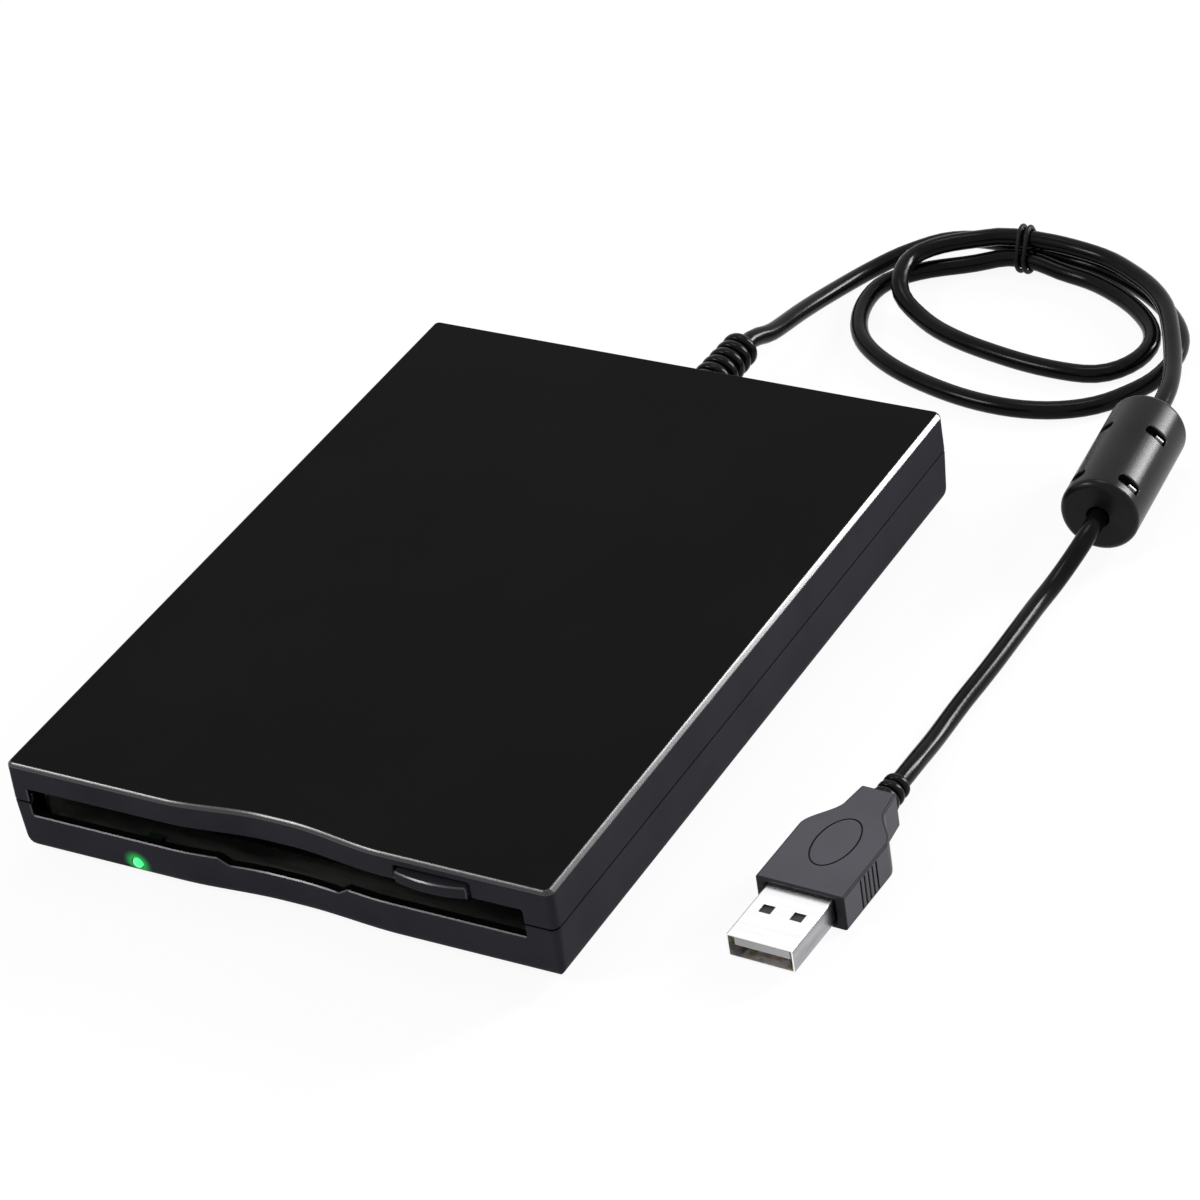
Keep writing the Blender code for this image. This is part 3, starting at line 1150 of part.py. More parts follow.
def make_switches(mech):
    bottom = CHASSIS_FLOOR + GAP
    block = box("switch_block", (SWITCH_X - SWITCH_W / 2, SWITCH_Y, bottom),
                (SWITCH_X + SWITCH_W / 2, SWITCH_Y + SWITCH_L, SWITCH_TOP), "grey_plastic", mech)
    middle = SWITCH_Y + SWITCH_L / 2
    for word, side in (("write_protect", -1), ("density", 1)):
        x = SWITCH_X + side * SWITCH_GAP_X / 2
        cut(block, rod(f"{word}_hole", PLUNGER_R + GAP, (x, middle, bottom - OVERRUN), (x, middle, SWITCH_TOP + OVERRUN),
                       SMALL_SIDES, parent=mech, tool=True))
        rod(f"{word}_plunger", PLUNGER_R, (x, middle, SWITCH_TOP - PLUNGER_ROOT), (x, middle, PLUNGER_TOP),
            SMALL_SIDES, "white_plastic", mech)


def make_interface(drive):
    half = USB_BOARD_W / 2
    back = USB_BOARD_FRONT + USB_BOARD_D
    box("usb_board", (-half, USB_BOARD_FRONT, USB_BOARD_BOTTOM), (half, back, USB_BOARD_TOP), "circuit_board", drive)
    seat = USB_BOARD_TOP + GAP
    box("bridge_chip", (CHIP_X - CHIP_SIDE / 2, USB_BOARD_Y - CHIP_SIDE / 2, seat),
        (CHIP_X + CHIP_SIDE / 2, USB_BOARD_Y + CHIP_SIDE / 2, seat + CHIP_H), "chip_black", drive)
    can = box("crystal_can", (CRYSTAL_X - CRYSTAL_W / 2, USB_BOARD_Y - CRYSTAL_D / 2, seat),
              (CRYSTAL_X + CRYSTAL_W / 2, USB_BOARD_Y + CRYSTAL_D / 2, seat + CRYSTAL_H), "nickel", drive)
    bevel(can, CRYSTAL_D / 4, 2)
    box("cable_socket", (-SOCKET_W / 2, USB_BOARD_Y - SOCKET_D / 2, seat),
        (SOCKET_W / 2, USB_BOARD_Y + SOCKET_D / 2, seat + SOCKET_H), "white_plastic", drive)
    lead_start = BACK_IN - 2 * GAP - BOOT_FLANGE_T - CASE_DRAFT
    lead_end = seat + SOCKET_H + GAP
    bend = BOOT_Z - lead_end - GAP
    corner = arc(USB_BOARD_Y + bend, lead_end + GAP, bend, math.pi / 2, math.pi, LEAD_BEND_STEPS)
    lead = [(0, lead_start, BOOT_Z)] + [(0, y, z) for y, z in corner] + [(0, USB_BOARD_Y, lead_end)]
    tube("inner_lead", lead, INNER_LEAD_R, COIL_SIDES_RES, "cord_jacket", drive)
    make_ribbon(drive)


def make_ribbon(drive):
    """A flat cable from the motor board, over the chassis's back edge, to the interface board."""
    start = MECH_BACK - 3 * BOARD_MARGIN
    low_a = BOARD_TOP + GAP
    low_b = USB_BOARD_TOP + GAP
    edge = MECH_BACK - BOARD_MARGIN
    top = low_a + RIBBON_HUMP
    under = [(start, low_a), (edge - GAP, low_a), (edge + RIBBON_HUMP / 2, top), (USB_BOARD_FRONT, top),
             (USB_BOARD_FRONT + RIBBON_HUMP / 2, low_b), (USB_BOARD_Y, low_b)]
    over = [(y, z + RIBBON_T) for y, z in reversed(under)]
    over[2] = (over[2][0] + RIBBON_T, over[2][1])
    middle = RIBBON_MIDDLE + MECH_X
    section_along_x("ribbon_cable", under + over, middle - RIBBON_W / 2, middle + RIBBON_W / 2, "ribbon", drive)


def tube(name, points, radius, res, mat, parent):
    """A round tube through points, with filled ends."""
    curve = bpy.data.curves.new(name, "CURVE")
    curve.dimensions = "3D"
    curve.bevel_depth = radius
    curve.bevel_resolution = res
    curve.use_fill_caps = True
    spline = curve.splines.new("POLY")
    spline.points.add(len(points) - 1)
    for point, co in zip(spline.points, points):
        point.co = (*co, 1)
    curve.materials.append(MATERIALS[mat])
    obj = bpy.data.objects.new(name, curve)
    obj.parent = parent
    PARTS.objects.link(obj)
    return obj


def smooth_route(route, step):
    """Points at even steps along a smooth curve. The route's first and last stretch stay straight."""
    pts = [Vector(p) for p in route]
    dense = []
    parts = 16
    for p0, p1, p2, p3 in zip(pts, pts[1:], pts[2:], pts[3:]):
        for i in range(parts):
            t = i / parts
            dense.append(0.5 * (2 * p1 + (p2 - p0) * t + (2 * p0 - 5 * p1 + 4 * p2 - p3) * t * t
                                + (3 * p1 - p0 - 3 * p2 + p3) * t * t * t))
    dense.append(pts[-2])
    total = sum((b - a).length for a, b in zip(dense, dense[1:]))
    count = max(2, round(total / step))
    out = [dense[0]]
    wanted = total / count
    gone = 0
    for a, b in zip(dense, dense[1:]):
        length = (b - a).length
        while gone + length >= wanted * len(out) and len(out) < count:
            out.append(a.lerp(b, (wanted * len(out) - gone) / length))
        gone += length
    out = [pts[0]] + out + [dense[-1], pts[-1]]
    for point in out:
        point.z = max(point.z, CORD_R)
    total += (out[1] - out[0]).length + (out[-1] - out[-2]).length
    return out, total


STRAND_STEP = CORD_D + STRAND_GAP
TIE_LOW_Z = CORD_R + 2 * TIE_WIRE_R + 2 * GAP
TIE_TOP_Z = TIE_LOW_Z + STRAND_STEP * math.sqrt(3) / 2
TIE_BACK_Y = TIE_Y + STRAND_STEP / 2
TIE_FRONT_Y = TIE_Y - STRAND_STEP / 2


def least_gap(points, radius):
    """The smallest clear distance between stretches of one tube, measured on its points."""
    dense, total = smooth_route(points, radius)
    least = total
    skip = 8
    for i, a in enumerate(dense):
        for b in dense[i + skip:]:
            least = min(least, (a - b).length)
    return least - 2 * radius


# The cord's places are for a boot that ends at EXIT_Y, and the whole cord moves with the case's back
EXIT_Y = 0.0929
CORD_SHIFT = CASE_Y + BACK + BOOT_L - EXIT_Y
FERRITE_ALONG = Vector((math.sin(FERRITE_YAW), -math.cos(FERRITE_YAW), 0))
FERRITE_MIDDLE = Vector((FERRITE_X, FERRITE_Y, FERRITE_R))
FERRITE_BACK_END = FERRITE_MIDDLE - FERRITE_ALONG * (FERRITE_L / 2)
FERRITE_FRONT_END = FERRITE_MIDDLE + FERRITE_ALONG * (FERRITE_L / 2)
PLUG_ALONG = Vector((math.sin(PLUG_YAW), -math.cos(PLUG_YAW), 0))
PLUG_L = PLUG_FLAT_L + PLUG_SHOULDER_L + PLUG_NECK_L
PLUG_FACE = Vector((PLUG_X, PLUG_Y, PLUG_H / 2))
RELIEF_END = PLUG_FACE - PLUG_ALONG * (PLUG_L + RELIEF_L)

# The cord's free stretches, chosen by hand from the photograph
LEAD_IN_ROUTE = [
    (0.0, EXIT_Y + GAP, BOOT_Z), (0.0, EXIT_Y + CORD_D, BOOT_Z), (0.0010, 0.1012, 0.0081),
    (0.0010, 0.1076, 0.0066), (0.0010, 0.1134, 0.0054), (0.0014, 0.1208, 0.0039), (0.0022, 0.1275, 0.0027),
    (0.0034, 0.1335, 0.0019), (0.0052, 0.1383, 0.0017), (0.0074, 0.1427, 0.0017), (0.0102, 0.1463, 0.0018),
    (0.0136, 0.1492, 0.0022), (0.0188, 0.1508, 0.0026), (0.0242, 0.1507, 0.0030),
    (TIE_X - CORD_D, TIE_BACK_Y, TIE_LOW_Z), (TIE_X - GAP / 2, TIE_BACK_Y, TIE_LOW_Z),
]
COIL_ROUTE = [
    (TIE_X + GAP / 2, TIE_BACK_Y, TIE_LOW_Z), (TIE_X + CORD_D, TIE_BACK_Y, TIE_LOW_Z),
    (0.0375, 0.1503, 0.0022), (0.0450, 0.1496, 0.0017), (0.0523, 0.1469, 0.0017), (0.0590, 0.1432, 0.0017),
    (0.0649, 0.1384, 0.0017), (0.0694, 0.1330, 0.0017), (0.0717, 0.1276, 0.0017), (0.0722, 0.1218, 0.0017),
    (0.0713, 0.1161, 0.0017), (0.0689, 0.1114, 0.0017), (0.0652, 0.1063, 0.0017), (0.0599, 0.1028, 0.0017),
    (0.0538, 0.1009, 0.0017), (0.0471, 0.1004, 0.0017), (0.0396, 0.1012, 0.0017), (0.0322, 0.1031, 0.0017),
    (0.0253, 0.1056, 0.0017), (0.0192, 0.1089, 0.0017), (0.0140, 0.1131, 0.0017), (0.0106, 0.1182, 0.0017),
    (0.0086, 0.1242, 0.0017), (0.0082, 0.1296, 0.0017), (0.0092, 0.1337, 0.0017), (0.0117, 0.1368, 0.0017),
    (0.0159, 0.1403, 0.0017), (0.0229, 0.1434, 0.0022), (0.0285, 0.1458, 0.0032),
    (TIE_X, TIE_FRONT_Y, TIE_LOW_Z), (0.0353, 0.1460, 0.0031), (0.0397, 0.1454, 0.0022),
    (0.0457, 0.1448, 0.0017), (0.0517, 0.1423, 0.0017), (0.0573, 0.1389, 0.0017), (0.0618, 0.1350, 0.0017),
    (0.0649, 0.1309, 0.0017), (0.0663, 0.1263, 0.0017), (0.0658, 0.1220, 0.0017), (0.0638, 0.1180, 0.0017),
    (0.0603, 0.1152, 0.0017), (0.0546, 0.1145, 0.0017), (0.0474, 0.1149, 0.0017), (0.0397, 0.1163, 0.0017),
    (0.0320, 0.1183, 0.0017), (0.0251, 0.1211, 0.0017), (0.0191, 0.1247, 0.0022), (0.0157, 0.1268, 0.0033),
    (0.0141, 0.1289, 0.0045), (0.0131, 0.1325, 0.0053), (0.0127, 0.1365, 0.0055), (0.0141, 0.1397, 0.0057),
    (0.0170, 0.1429, 0.0058), (0.0213, 0.1455, 0.0059), (TIE_X - CORD_D, TIE_Y, TIE_TOP_Z),
    (TIE_X - GAP / 2, TIE_Y, TIE_TOP_Z),
]
LEAD_OUT_ROUTE = [
    (TIE_X + GAP / 2, TIE_Y, TIE_TOP_Z), (TIE_X + CORD_D, TIE_Y, TIE_TOP_Z), (0.0410, 0.1480, 0.0063),
    (0.0489, 0.1469, 0.0058), (0.0549, 0.1440, 0.0057), (0.0612, 0.1397, 0.0058), (0.0663, 0.1343, 0.0058),
    (0.0703, 0.1273, 0.0059), (0.0727, 0.1225, 0.0059), (0.0749, 0.1176, 0.0060), (0.0769, 0.1124, 0.0063),
    (0.0786, 0.1066, 0.0068), tuple(FERRITE_BACK_END - FERRITE_ALONG * CORD_D),
    tuple(FERRITE_BACK_END - FERRITE_ALONG * GAP),
]
TAIL_ROUTE = [
    tuple(FERRITE_FRONT_END + FERRITE_ALONG * GAP), tuple(FERRITE_FRONT_END + FERRITE_ALONG * CORD_D),
    (0.0828, 0.0602, 0.0058), (0.0820, 0.0570, 0.0042), (0.0812, 0.0536, 0.0028), (0.0806, 0.0498, 0.0019),
    (0.0803, 0.0462, 0.0017), (0.0803, 0.0410, 0.0017), (0.0803, 0.0350, 0.0017), (0.0803, 0.0290, 0.0017),
    (0.0802, 0.0230, 0.0017), (0.0800, 0.0170, 0.0017), (0.0800, 0.0115, 0.0017), (0.0801, 0.0070, 0.0018),
    (0.0803, 0.0030, 0.0022), (0.0805, -0.0015, 0.0028), tuple(RELIEF_END - PLUG_ALONG * CORD_D),
    tuple(RELIEF_END - PLUG_ALONG * GAP),
]

def make_strain_relief(drive):
    """The ringed boot, its neck through the back wall and its flange inside it."""
    pitch = BOOT_L / BOOT_RINGS
    profile = [(0, BOOT_L)]
    for i in range(BOOT_RINGS):
        top = BOOT_L - i * pitch
        radius = BOOT_END_R + (BOOT_BASE_R - BOOT_END_R) * i / (BOOT_RINGS - 1)
        foot = top - pitch * BOOT_RING_SHARE
        if i:
            profile.append((radius - BOOT_GROOVE, top - GAP))
        profile += [(radius, top - (GAP if i else 0)), (radius, foot)]
        if i < BOOT_RINGS - 1:
            profile.append((radius - BOOT_GROOVE, foot))
    wall = CASE_WALL + CASE_DRAFT + GAP
    profile += [
        (BOOT_BASE_R, GAP), (BOOT_NECK_R, GAP), (BOOT_NECK_R, -wall), (BOOT_FLANGE_R, -wall),
        (BOOT_FLANGE_R, -wall - BOOT_FLANGE_T), (0, -wall - BOOT_FLANGE_T),
    ]
    turned("strain_relief", profile, ROUND_SIDES, (0, BACK, BOOT_Z), "black_rubber", drive,
           (-math.pi / 2, 0, 0))


def tie_points():
    """Two turns of wire round the three strands at the tie."""
    strands = ((TIE_BACK_Y, TIE_LOW_Z), (TIE_Y, TIE_TOP_Z), (TIE_FRONT_Y, TIE_LOW_Z))
    reach = CORD_R + GAP + TIE_WIRE_R
    corner_steps = 4
    loop = []
    third = math.tau / 3
    for n, (y, z) in enumerate(strands):
        middle = -math.pi / 6 + n * third
        for i in range(corner_steps + 1):
            angle = middle + (i / corner_steps - 0.5) * third
            loop.append((y + reach * math.cos(angle), z + reach * math.sin(angle)))
    count = TIE_TURNS * len(loop)
    points = []
    for i in range(count + 1):
        y, z = loop[i % len(loop)]
        points.append((TIE_X + TIE_PITCH * (i / len(loop) - TIE_TURNS / 2), y, z))
    return points


def make_cord(world):
    lead_in, lead_in_l = smooth_route(LEAD_IN_ROUTE, FREE_POINT_STEP)
    lead_out, lead_out_l = smooth_route(LEAD_OUT_ROUTE, FREE_POINT_STEP)
    tail, tail_l = smooth_route(TAIL_ROUTE, FREE_POINT_STEP)
    coil, coil_l = smooth_route(COIL_ROUTE, COIL_POINT_STEP)
    tube("cord_lead_in", lead_in, CORD_R, CORD_SIDES_RES, "cord_jacket", world)
    tube("cord_coil", coil, CORD_R, COIL_SIDES_RES, "cord_jacket", world)
    tube("cord_lead_out", lead_out, CORD_R, CORD_SIDES_RES, "cord_jacket", world)
    tube("cord_tail", tail, CORD_R, CORD_SIDES_RES, "cord_jacket", world)
    core_run = [FERRITE_BACK_END, FERRITE_FRONT_END]
    tube("cord_in_core", core_run, CORD_R, CORD_SIDES_RES, "cord_jacket", world)
    tube("cord_tie", tie_points(), TIE_WIRE_R, COIL_SIDES_RES, "black_rubber", world)
    print("coil's least gap to itself, mm:", round(least_gap(coil, CORD_R) * 1000, 2))
    total = lead_in_l + coil_l + lead_out_l + FERRITE_L + tail_l
    print("cord length, mm:", round(total * 1000, 1))


def make_ferrite(world):
    """The core and the moulding round it, with small windows in four rows."""
    half = FERRITE_L / 2
    edge = FERRITE_R - FERRITE_EDGE_R
    hole = CORD_R + CORE_BORE_GAP
    room_r = FERRITE_R - FERRITE_WALL
    room = half - FERRITE_WALL
    slope = FERRITE_EDGE_R / 3
    profile = [
        (hole, half), (edge, half), (FERRITE_R - slope, half - slope), (FERRITE_R, half - FERRITE_EDGE_R),
        (FERRITE_R, FERRITE_EDGE_R - half), (FERRITE_R - slope, slope - half), (edge, -half), (hole, -half),
        (hole, -room), (room_r, -room), (room_r, room), (hole, room),
    ]
    lie = (math.pi / 2, 0, FERRITE_YAW)
    housing = turned("ferrite_housing", profile, ROUND_SIDES, FERRITE_MIDDLE, "black_rubber", world, lie,
                     closed=True)
    lay = Matrix.Rotation(FERRITE_YAW, 4, "Z") @ Matrix.Rotation(math.pi / 2, 4, "X")
    for row in range(WINDOW_ROWS):
        angle = WINDOW_ANGLE + row * math.tau / WINDOW_ROWS
        for n in range(WINDOWS_IN_ROW):
            along = WINDOW_BACK - n * WINDOW_PITCH
            bm = bmesh.new()
            bmesh.ops.create_cube(bm, size=1)
            bmesh.ops.scale(bm, vec=(2 * (FERRITE_WALL + GAP), WINDOW_W, WINDOW_L), verts=bm.verts)
            bmesh.ops.translate(bm, vec=(FERRITE_R, 0, 0), verts=bm.verts)
            name = f"core_window_{row}_{n}"
            tool = place(name, mesh_from(bm, name), None, world, FERRITE_MIDDLE, None, True)
            spin = Matrix.Translation((0, 0, -along)) @ Matrix.Rotation(angle, 4, "Z")
            tool.data.transform(lay @ spin)
            cut(housing, tool)
    bore = CORD_R + CORE_BORE_GAP
    core_r = room_r - GAP
    core = room - GAP
    sleeve = [(bore, core), (core_r, core), (core_r, -core), (bore, -core)]
    turned("ferrite_core", sleeve, ROUND_SIDES, FERRITE_MIDDLE, "ferrite_grey", world, lie, closed=True)


def make_plug(world):
    """The moulded plug, its shell and the insulator in it. Local -Y points out of its mouth."""
    plug = empty("plug_place", PLUG_FACE)
    plug.rotation_euler = (0, 0, PLUG_YAW)
    plug.parent = world
    half, shoulder = PLUG_W / 2, PLUG_SHOULDER_W / 2
    flat = PLUG_FLAT_L
    outline = [
        (-half, 0), (half, 0), (half, flat), (shoulder + (half - shoulder) / 3, flat + PLUG_SHOULDER_L / 2),
        (shoulder, flat + PLUG_SHOULDER_L), (-shoulder, flat + PLUG_SHOULDER_L),
        (-shoulder - (half - shoulder) / 3, flat + PLUG_SHOULDER_L / 2), (-half, flat),
    ]
    body = slab("plug_body", [outline], -PLUG_H / 2, PLUG_H / 2, "case_plastic", plug)
    bevel(body, PLUG_EDGE_R, 2)
    fuse(body,
         box("plug_neck", (-PLUG_NECK_W / 2, flat + PLUG_SHOULDER_L - OVERRUN, -PLUG_NECK_H / 2),
             (PLUG_NECK_W / 2, PLUG_L, PLUG_NECK_H / 2), parent=plug, tool=True),
         relief_tool(plug))
    for side in (-1, 1):
        for n in range(GRIP_COUNT):
            y = GRIP_FROM_FACE + n * GRIP_PITCH
            cut(body, box(f"grip_{side}_{n}", (side * half - GRIP_DEEP, y - GRIP_W / 2, -PLUG_H / 2 + PLUG_EDGE_R),
                          (side * half + GRIP_DEEP, y + GRIP_W / 2, PLUG_H / 2 - PLUG_EDGE_R),
                          parent=plug, tool=True))
    oval_y = OVAL_FROM_FACE
    cut(body,
        slab("oval_line", [oval(OVAL_L / 2, OVAL_W / 2), oval(OVAL_L / 2 - OVAL_LINE, OVAL_W / 2 - OVAL_LINE)],
             PLUG_H / 2 - OVAL_DEEP, PLUG_H / 2 + OVERRUN, parent=plug, tool=True, at=(0, oval_y)),
        box("shell_socket", (-USB_W / 2 - GAP, -OVERRUN, -USB_H / 2 - GAP),
            (USB_W / 2 + GAP, USB_SOCKETED + GAP, USB_H / 2 + GAP), parent=plug, tool=True))
    shell = box("plug_shell", (-USB_W / 2, -USB_L, -USB_H / 2), (USB_W / 2, USB_SOCKETED, USB_H / 2), "nickel", plug)
    inside = (USB_W / 2 - USB_T, USB_H / 2 - USB_T)
    cut(shell, box("shell_bore", (-inside[0], -USB_L - OVERRUN, -inside[1]),
                   (inside[0], USB_SOCKETED + OVERRUN, inside[1]), parent=plug, tool=True))
    for side in (-1, 1):
        x = side * USB_WINDOW_X
        cut(shell, box(f"shell_window_{side}",
                       (x - USB_WINDOW_W / 2, -USB_WINDOW_AT - USB_WINDOW_L / 2, -USB_H / 2 - OVERRUN),
                       (x + USB_WINDOW_W / 2, -USB_WINDOW_AT + USB_WINDOW_L / 2, USB_H / 2 + OVERRUN),
                       parent=plug, tool=True))
    room_x, room_z = inside[0] - GAP, inside[1] - GAP
    insulator = box("plug_insulator", (-room_x, 0, -room_z), (room_x, USB_SOCKETED, room_z), "white_plastic", plug)
    fuse(insulator, box("insulator_tongue", (-room_x, -USB_L + USB_TONGUE_SHORT, room_z - USB_TONGUE_H),
                        (room_x, OVERRUN, room_z), parent=plug, tool=True))


def oval(half_long, half_wide):
    points = []
    for i in range(FINE_SIDES):
        angle = math.tau * i / FINE_SIDES
        points.append((half_wide * math.cos(angle), half_long * math.sin(angle)))
    return points


def relief_tool(plug):
    """The ringed tail of the plug."""
    pitch = RELIEF_L / RELIEF_RINGS
    profile = [(0, RELIEF_L)]
    for i in range(RELIEF_RINGS):
        top = RELIEF_L - i * pitch
        foot = top - pitch * BOOT_RING_SHARE
        if i:
            profile.append((RELIEF_R - RELIEF_GROOVE, top))
        profile += [(RELIEF_R, top), (RELIEF_R, foot), (RELIEF_R - RELIEF_GROOVE, foot)]
    profile += [(RELIEF_R - RELIEF_GROOVE, -OVERRUN), (0, -OVERRUN)]
    return turned("plug_relief", profile, SMALL_SIDES, (0, PLUG_L, 0), parent=plug, rotation=(-math.pi / 2, 0, 0),
                  tool=True)


def main():
    start_clean()
    make_materials()
    drive = empty("drive_place", (0, CASE_Y, 0))
    mech = empty("mechanism_place", (MECH_X, CASE_Y, 0))
    world = empty("cord_place", (0, CORD_SHIFT, 0))
    make_top_cover(drive)
    make_bottom_case(drive)
    make_small_case_pieces(drive)
    make_eject_button(drive)
    make_chassis(mech)
    make_chassis_screws(mech)
    make_shield(mech)
    make_cradle(mech)
    make_shutter_lever(mech)
    make_eject_plate(mech)
    make_flap(mech)
    make_spindle(mech)
    make_carriage(mech)
    make_head_arm(mech)
    make_stepper(mech)
    make_eject_spring(mech)
    make_switches(mech)
    make_interface(drive)
    make_strain_relief(drive)
    make_cord(world)
    make_ferrite(world)
    make_plug(world)


main()
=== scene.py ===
import math

import bmesh
import bpy
from mathutils import Matrix, Vector


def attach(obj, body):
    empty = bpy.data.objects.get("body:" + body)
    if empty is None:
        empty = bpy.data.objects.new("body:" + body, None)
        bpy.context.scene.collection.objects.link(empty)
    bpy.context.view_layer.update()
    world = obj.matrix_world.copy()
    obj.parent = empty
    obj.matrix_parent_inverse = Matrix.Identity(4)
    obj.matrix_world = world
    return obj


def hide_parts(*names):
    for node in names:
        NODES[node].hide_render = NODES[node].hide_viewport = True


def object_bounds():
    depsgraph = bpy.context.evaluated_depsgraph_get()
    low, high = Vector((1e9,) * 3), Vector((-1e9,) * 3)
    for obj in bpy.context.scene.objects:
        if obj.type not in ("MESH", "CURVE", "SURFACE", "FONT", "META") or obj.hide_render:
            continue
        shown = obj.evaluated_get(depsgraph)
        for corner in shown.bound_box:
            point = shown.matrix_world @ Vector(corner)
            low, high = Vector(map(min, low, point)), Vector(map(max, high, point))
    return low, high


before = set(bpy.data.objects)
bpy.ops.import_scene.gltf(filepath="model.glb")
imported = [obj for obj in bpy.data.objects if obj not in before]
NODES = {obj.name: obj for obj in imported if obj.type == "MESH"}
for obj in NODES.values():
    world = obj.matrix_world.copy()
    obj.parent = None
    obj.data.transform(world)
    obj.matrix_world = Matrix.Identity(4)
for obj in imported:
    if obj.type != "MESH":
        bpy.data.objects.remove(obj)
cad_low, cad_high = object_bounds()

# Camera, set from the photograph
camera = bpy.data.objects.new("camera", bpy.data.cameras.new("camera"))
camera.location = (0.393513, -0.549288, 0.476833)
camera.rotation_euler = [math.radians(a) for a in (55.1412, 7.5691, 28.7823)]
camera.data.lens = 144.304
camera.data.sensor_width = 36
camera.data.sensor_fit = "HORIZONTAL"
camera.data.clip_start = 0.01
bpy.context.scene.collection.objects.link(camera)
bpy.context.scene.camera = camera

# The case and what is in its front, as the source has them
CASE_W, CASE_D, CASE_H, FOOT_H = 0.1043, 0.142, 0.0188, 0.0007
CASE_Y = 0.0007
CASE_TOP = FOOT_H + CASE_H
WALL = 0.0018
CORNER_R = 0.0016
SPLIT = 0.0118
SEAM = 0.0003
COVER_DRAFT, COVER_SIDE_R, COVER_FRONT_R = 0.0001, 0.0008, 0.0005
CASE_DRAFT, CASE_EDGE_R = 0.0004, 0.0037
LIP_T, LIP_RISE = 0.0008, 0.0012
GAP = 0.0003
DEEP_TOP, DEEP_BOTTOM = 0.0019, 0.0010
WAVE_HALF, WAVE_FLAT = 0.021, 0.002
FRONT, BACK = -CASE_D / 2, CASE_D / 2
FRONT_IN, BACK_IN = FRONT + WALL, BACK - WALL
INNER_TOP, INNER_FLOOR = CASE_TOP - WALL, FOOT_H + WALL
SLOT_LEFT, SLOT_RIGHT, SLOT_TOP, SLOT_FLOOR = 0.04855, 0.0462, 0.0146, 0.0092
NOTCH_TOP, NOTCH_FLOOR, NOTCH_DEEP = 0.0125, 0.0105, 0.0013
BUTTON_X, BUTTON_W, BUTTON_H, BUTTON_PROUD, BUTTON_BOW = 0.0300, 0.0134, 0.0023, 0.0014, 0.0009
LED_X, LED_Z, LED_R = -0.0289, 0.0041, 0.0010
BOOT_Z, BOOT_L = 0.0100, 0.0212
CORD_R = 0.0017
CORD_D = 2 * CORD_R
QUARTER = math.pi / 2

# Cutting tools reach this far past what they open, and joined ones this far into what holds them
OVERRUN, OVERLAP = 0.001, 0.0005


# Materials
def add(tree, kind, inputs=None, **settings):
    """A node with its inputs set or linked."""
    node = tree.nodes.new(kind)
    for key, value in settings.items():
        setattr(node, key, value)
    for key, value in (inputs or {}).items():
        if isinstance(value, bpy.types.NodeSocket):
            tree.links.new(value, node.inputs[key])
        else:
            node.inputs[key].default_value = value
    return node


NOISE_LOW, NOISE_HIGH = 0.3, 0.7
GRAIN_DEPTH = 0.3


def spread(tree, value, low, high):
    """A 0 to 1 value brought into a range, with its middle drawn out."""
    return add(tree, "ShaderNodeMapRange", {"Value": value, "From Min": NOISE_LOW, "From Max": NOISE_HIGH,
                                            "To Min": low, "To Max": high}).outputs["Result"]


def surface(name, dark, light, rough, grain, bump, spec=0.5, metallic=0.0, patch=90.0, stretch=(1, 1, 1)):
    """A material whose colour drifts between two tones, with fine grain in its roughness and relief."""
    mat = bpy.data.materials.new(name)
    mat.use_nodes = True
    tree = mat.node_tree
    shader = tree.nodes["Principled BSDF"]
    place = add(tree, "ShaderNodeTexCoord")
    drawn = add(tree, "ShaderNodeMapping", {"Vector": place.outputs["Object"], "Scale": stretch})
    vector = drawn.outputs["Vector"]
    broad = add(tree, "ShaderNodeTexNoise", {"Vector": vector, "Scale": patch, "Detail": 4.0})
    fine = add(tree, "ShaderNodeTexNoise", {"Vector": vector, "Scale": grain, "Detail": 3.0})
    share = spread(tree, broad.outputs["Fac"], 0.0, 1.0)
    tone = add(tree, "ShaderNodeMix", {"Factor": share}, data_type="RGBA")
    tone.inputs["A"].default_value = (*dark, 1)
    tone.inputs["B"].default_value = (*light, 1)
    tree.links.new(tone.outputs["Result"], shader.inputs["Base Color"])
    both = add(tree, "ShaderNodeMath", {0: broad.outputs["Fac"], 1: fine.outputs["Fac"]}, operation="ADD")
    half = add(tree, "ShaderNodeMath", {0: both.outputs[0], 1: 0.5}, operation="MULTIPLY")
    tree.links.new(spread(tree, half.outputs[0], *rough), shader.inputs["Roughness"])
    relief = add(tree, "ShaderNodeBump", {"Height": fine.outputs["Fac"], "Strength": bump,
                                          "Distance": GRAIN_DEPTH / grain})
    tree.links.new(relief.outputs["Normal"], shader.inputs["Normal"])
    shader.inputs["Specular IOR Level"].default_value = spec
    shader.inputs["Metallic"].default_value = metallic
    return mat


def grey(value, blue=1.0):
    """A near neutral colour, with more blue where the plastic has it."""
    return (value, value * 0.99, value * blue)


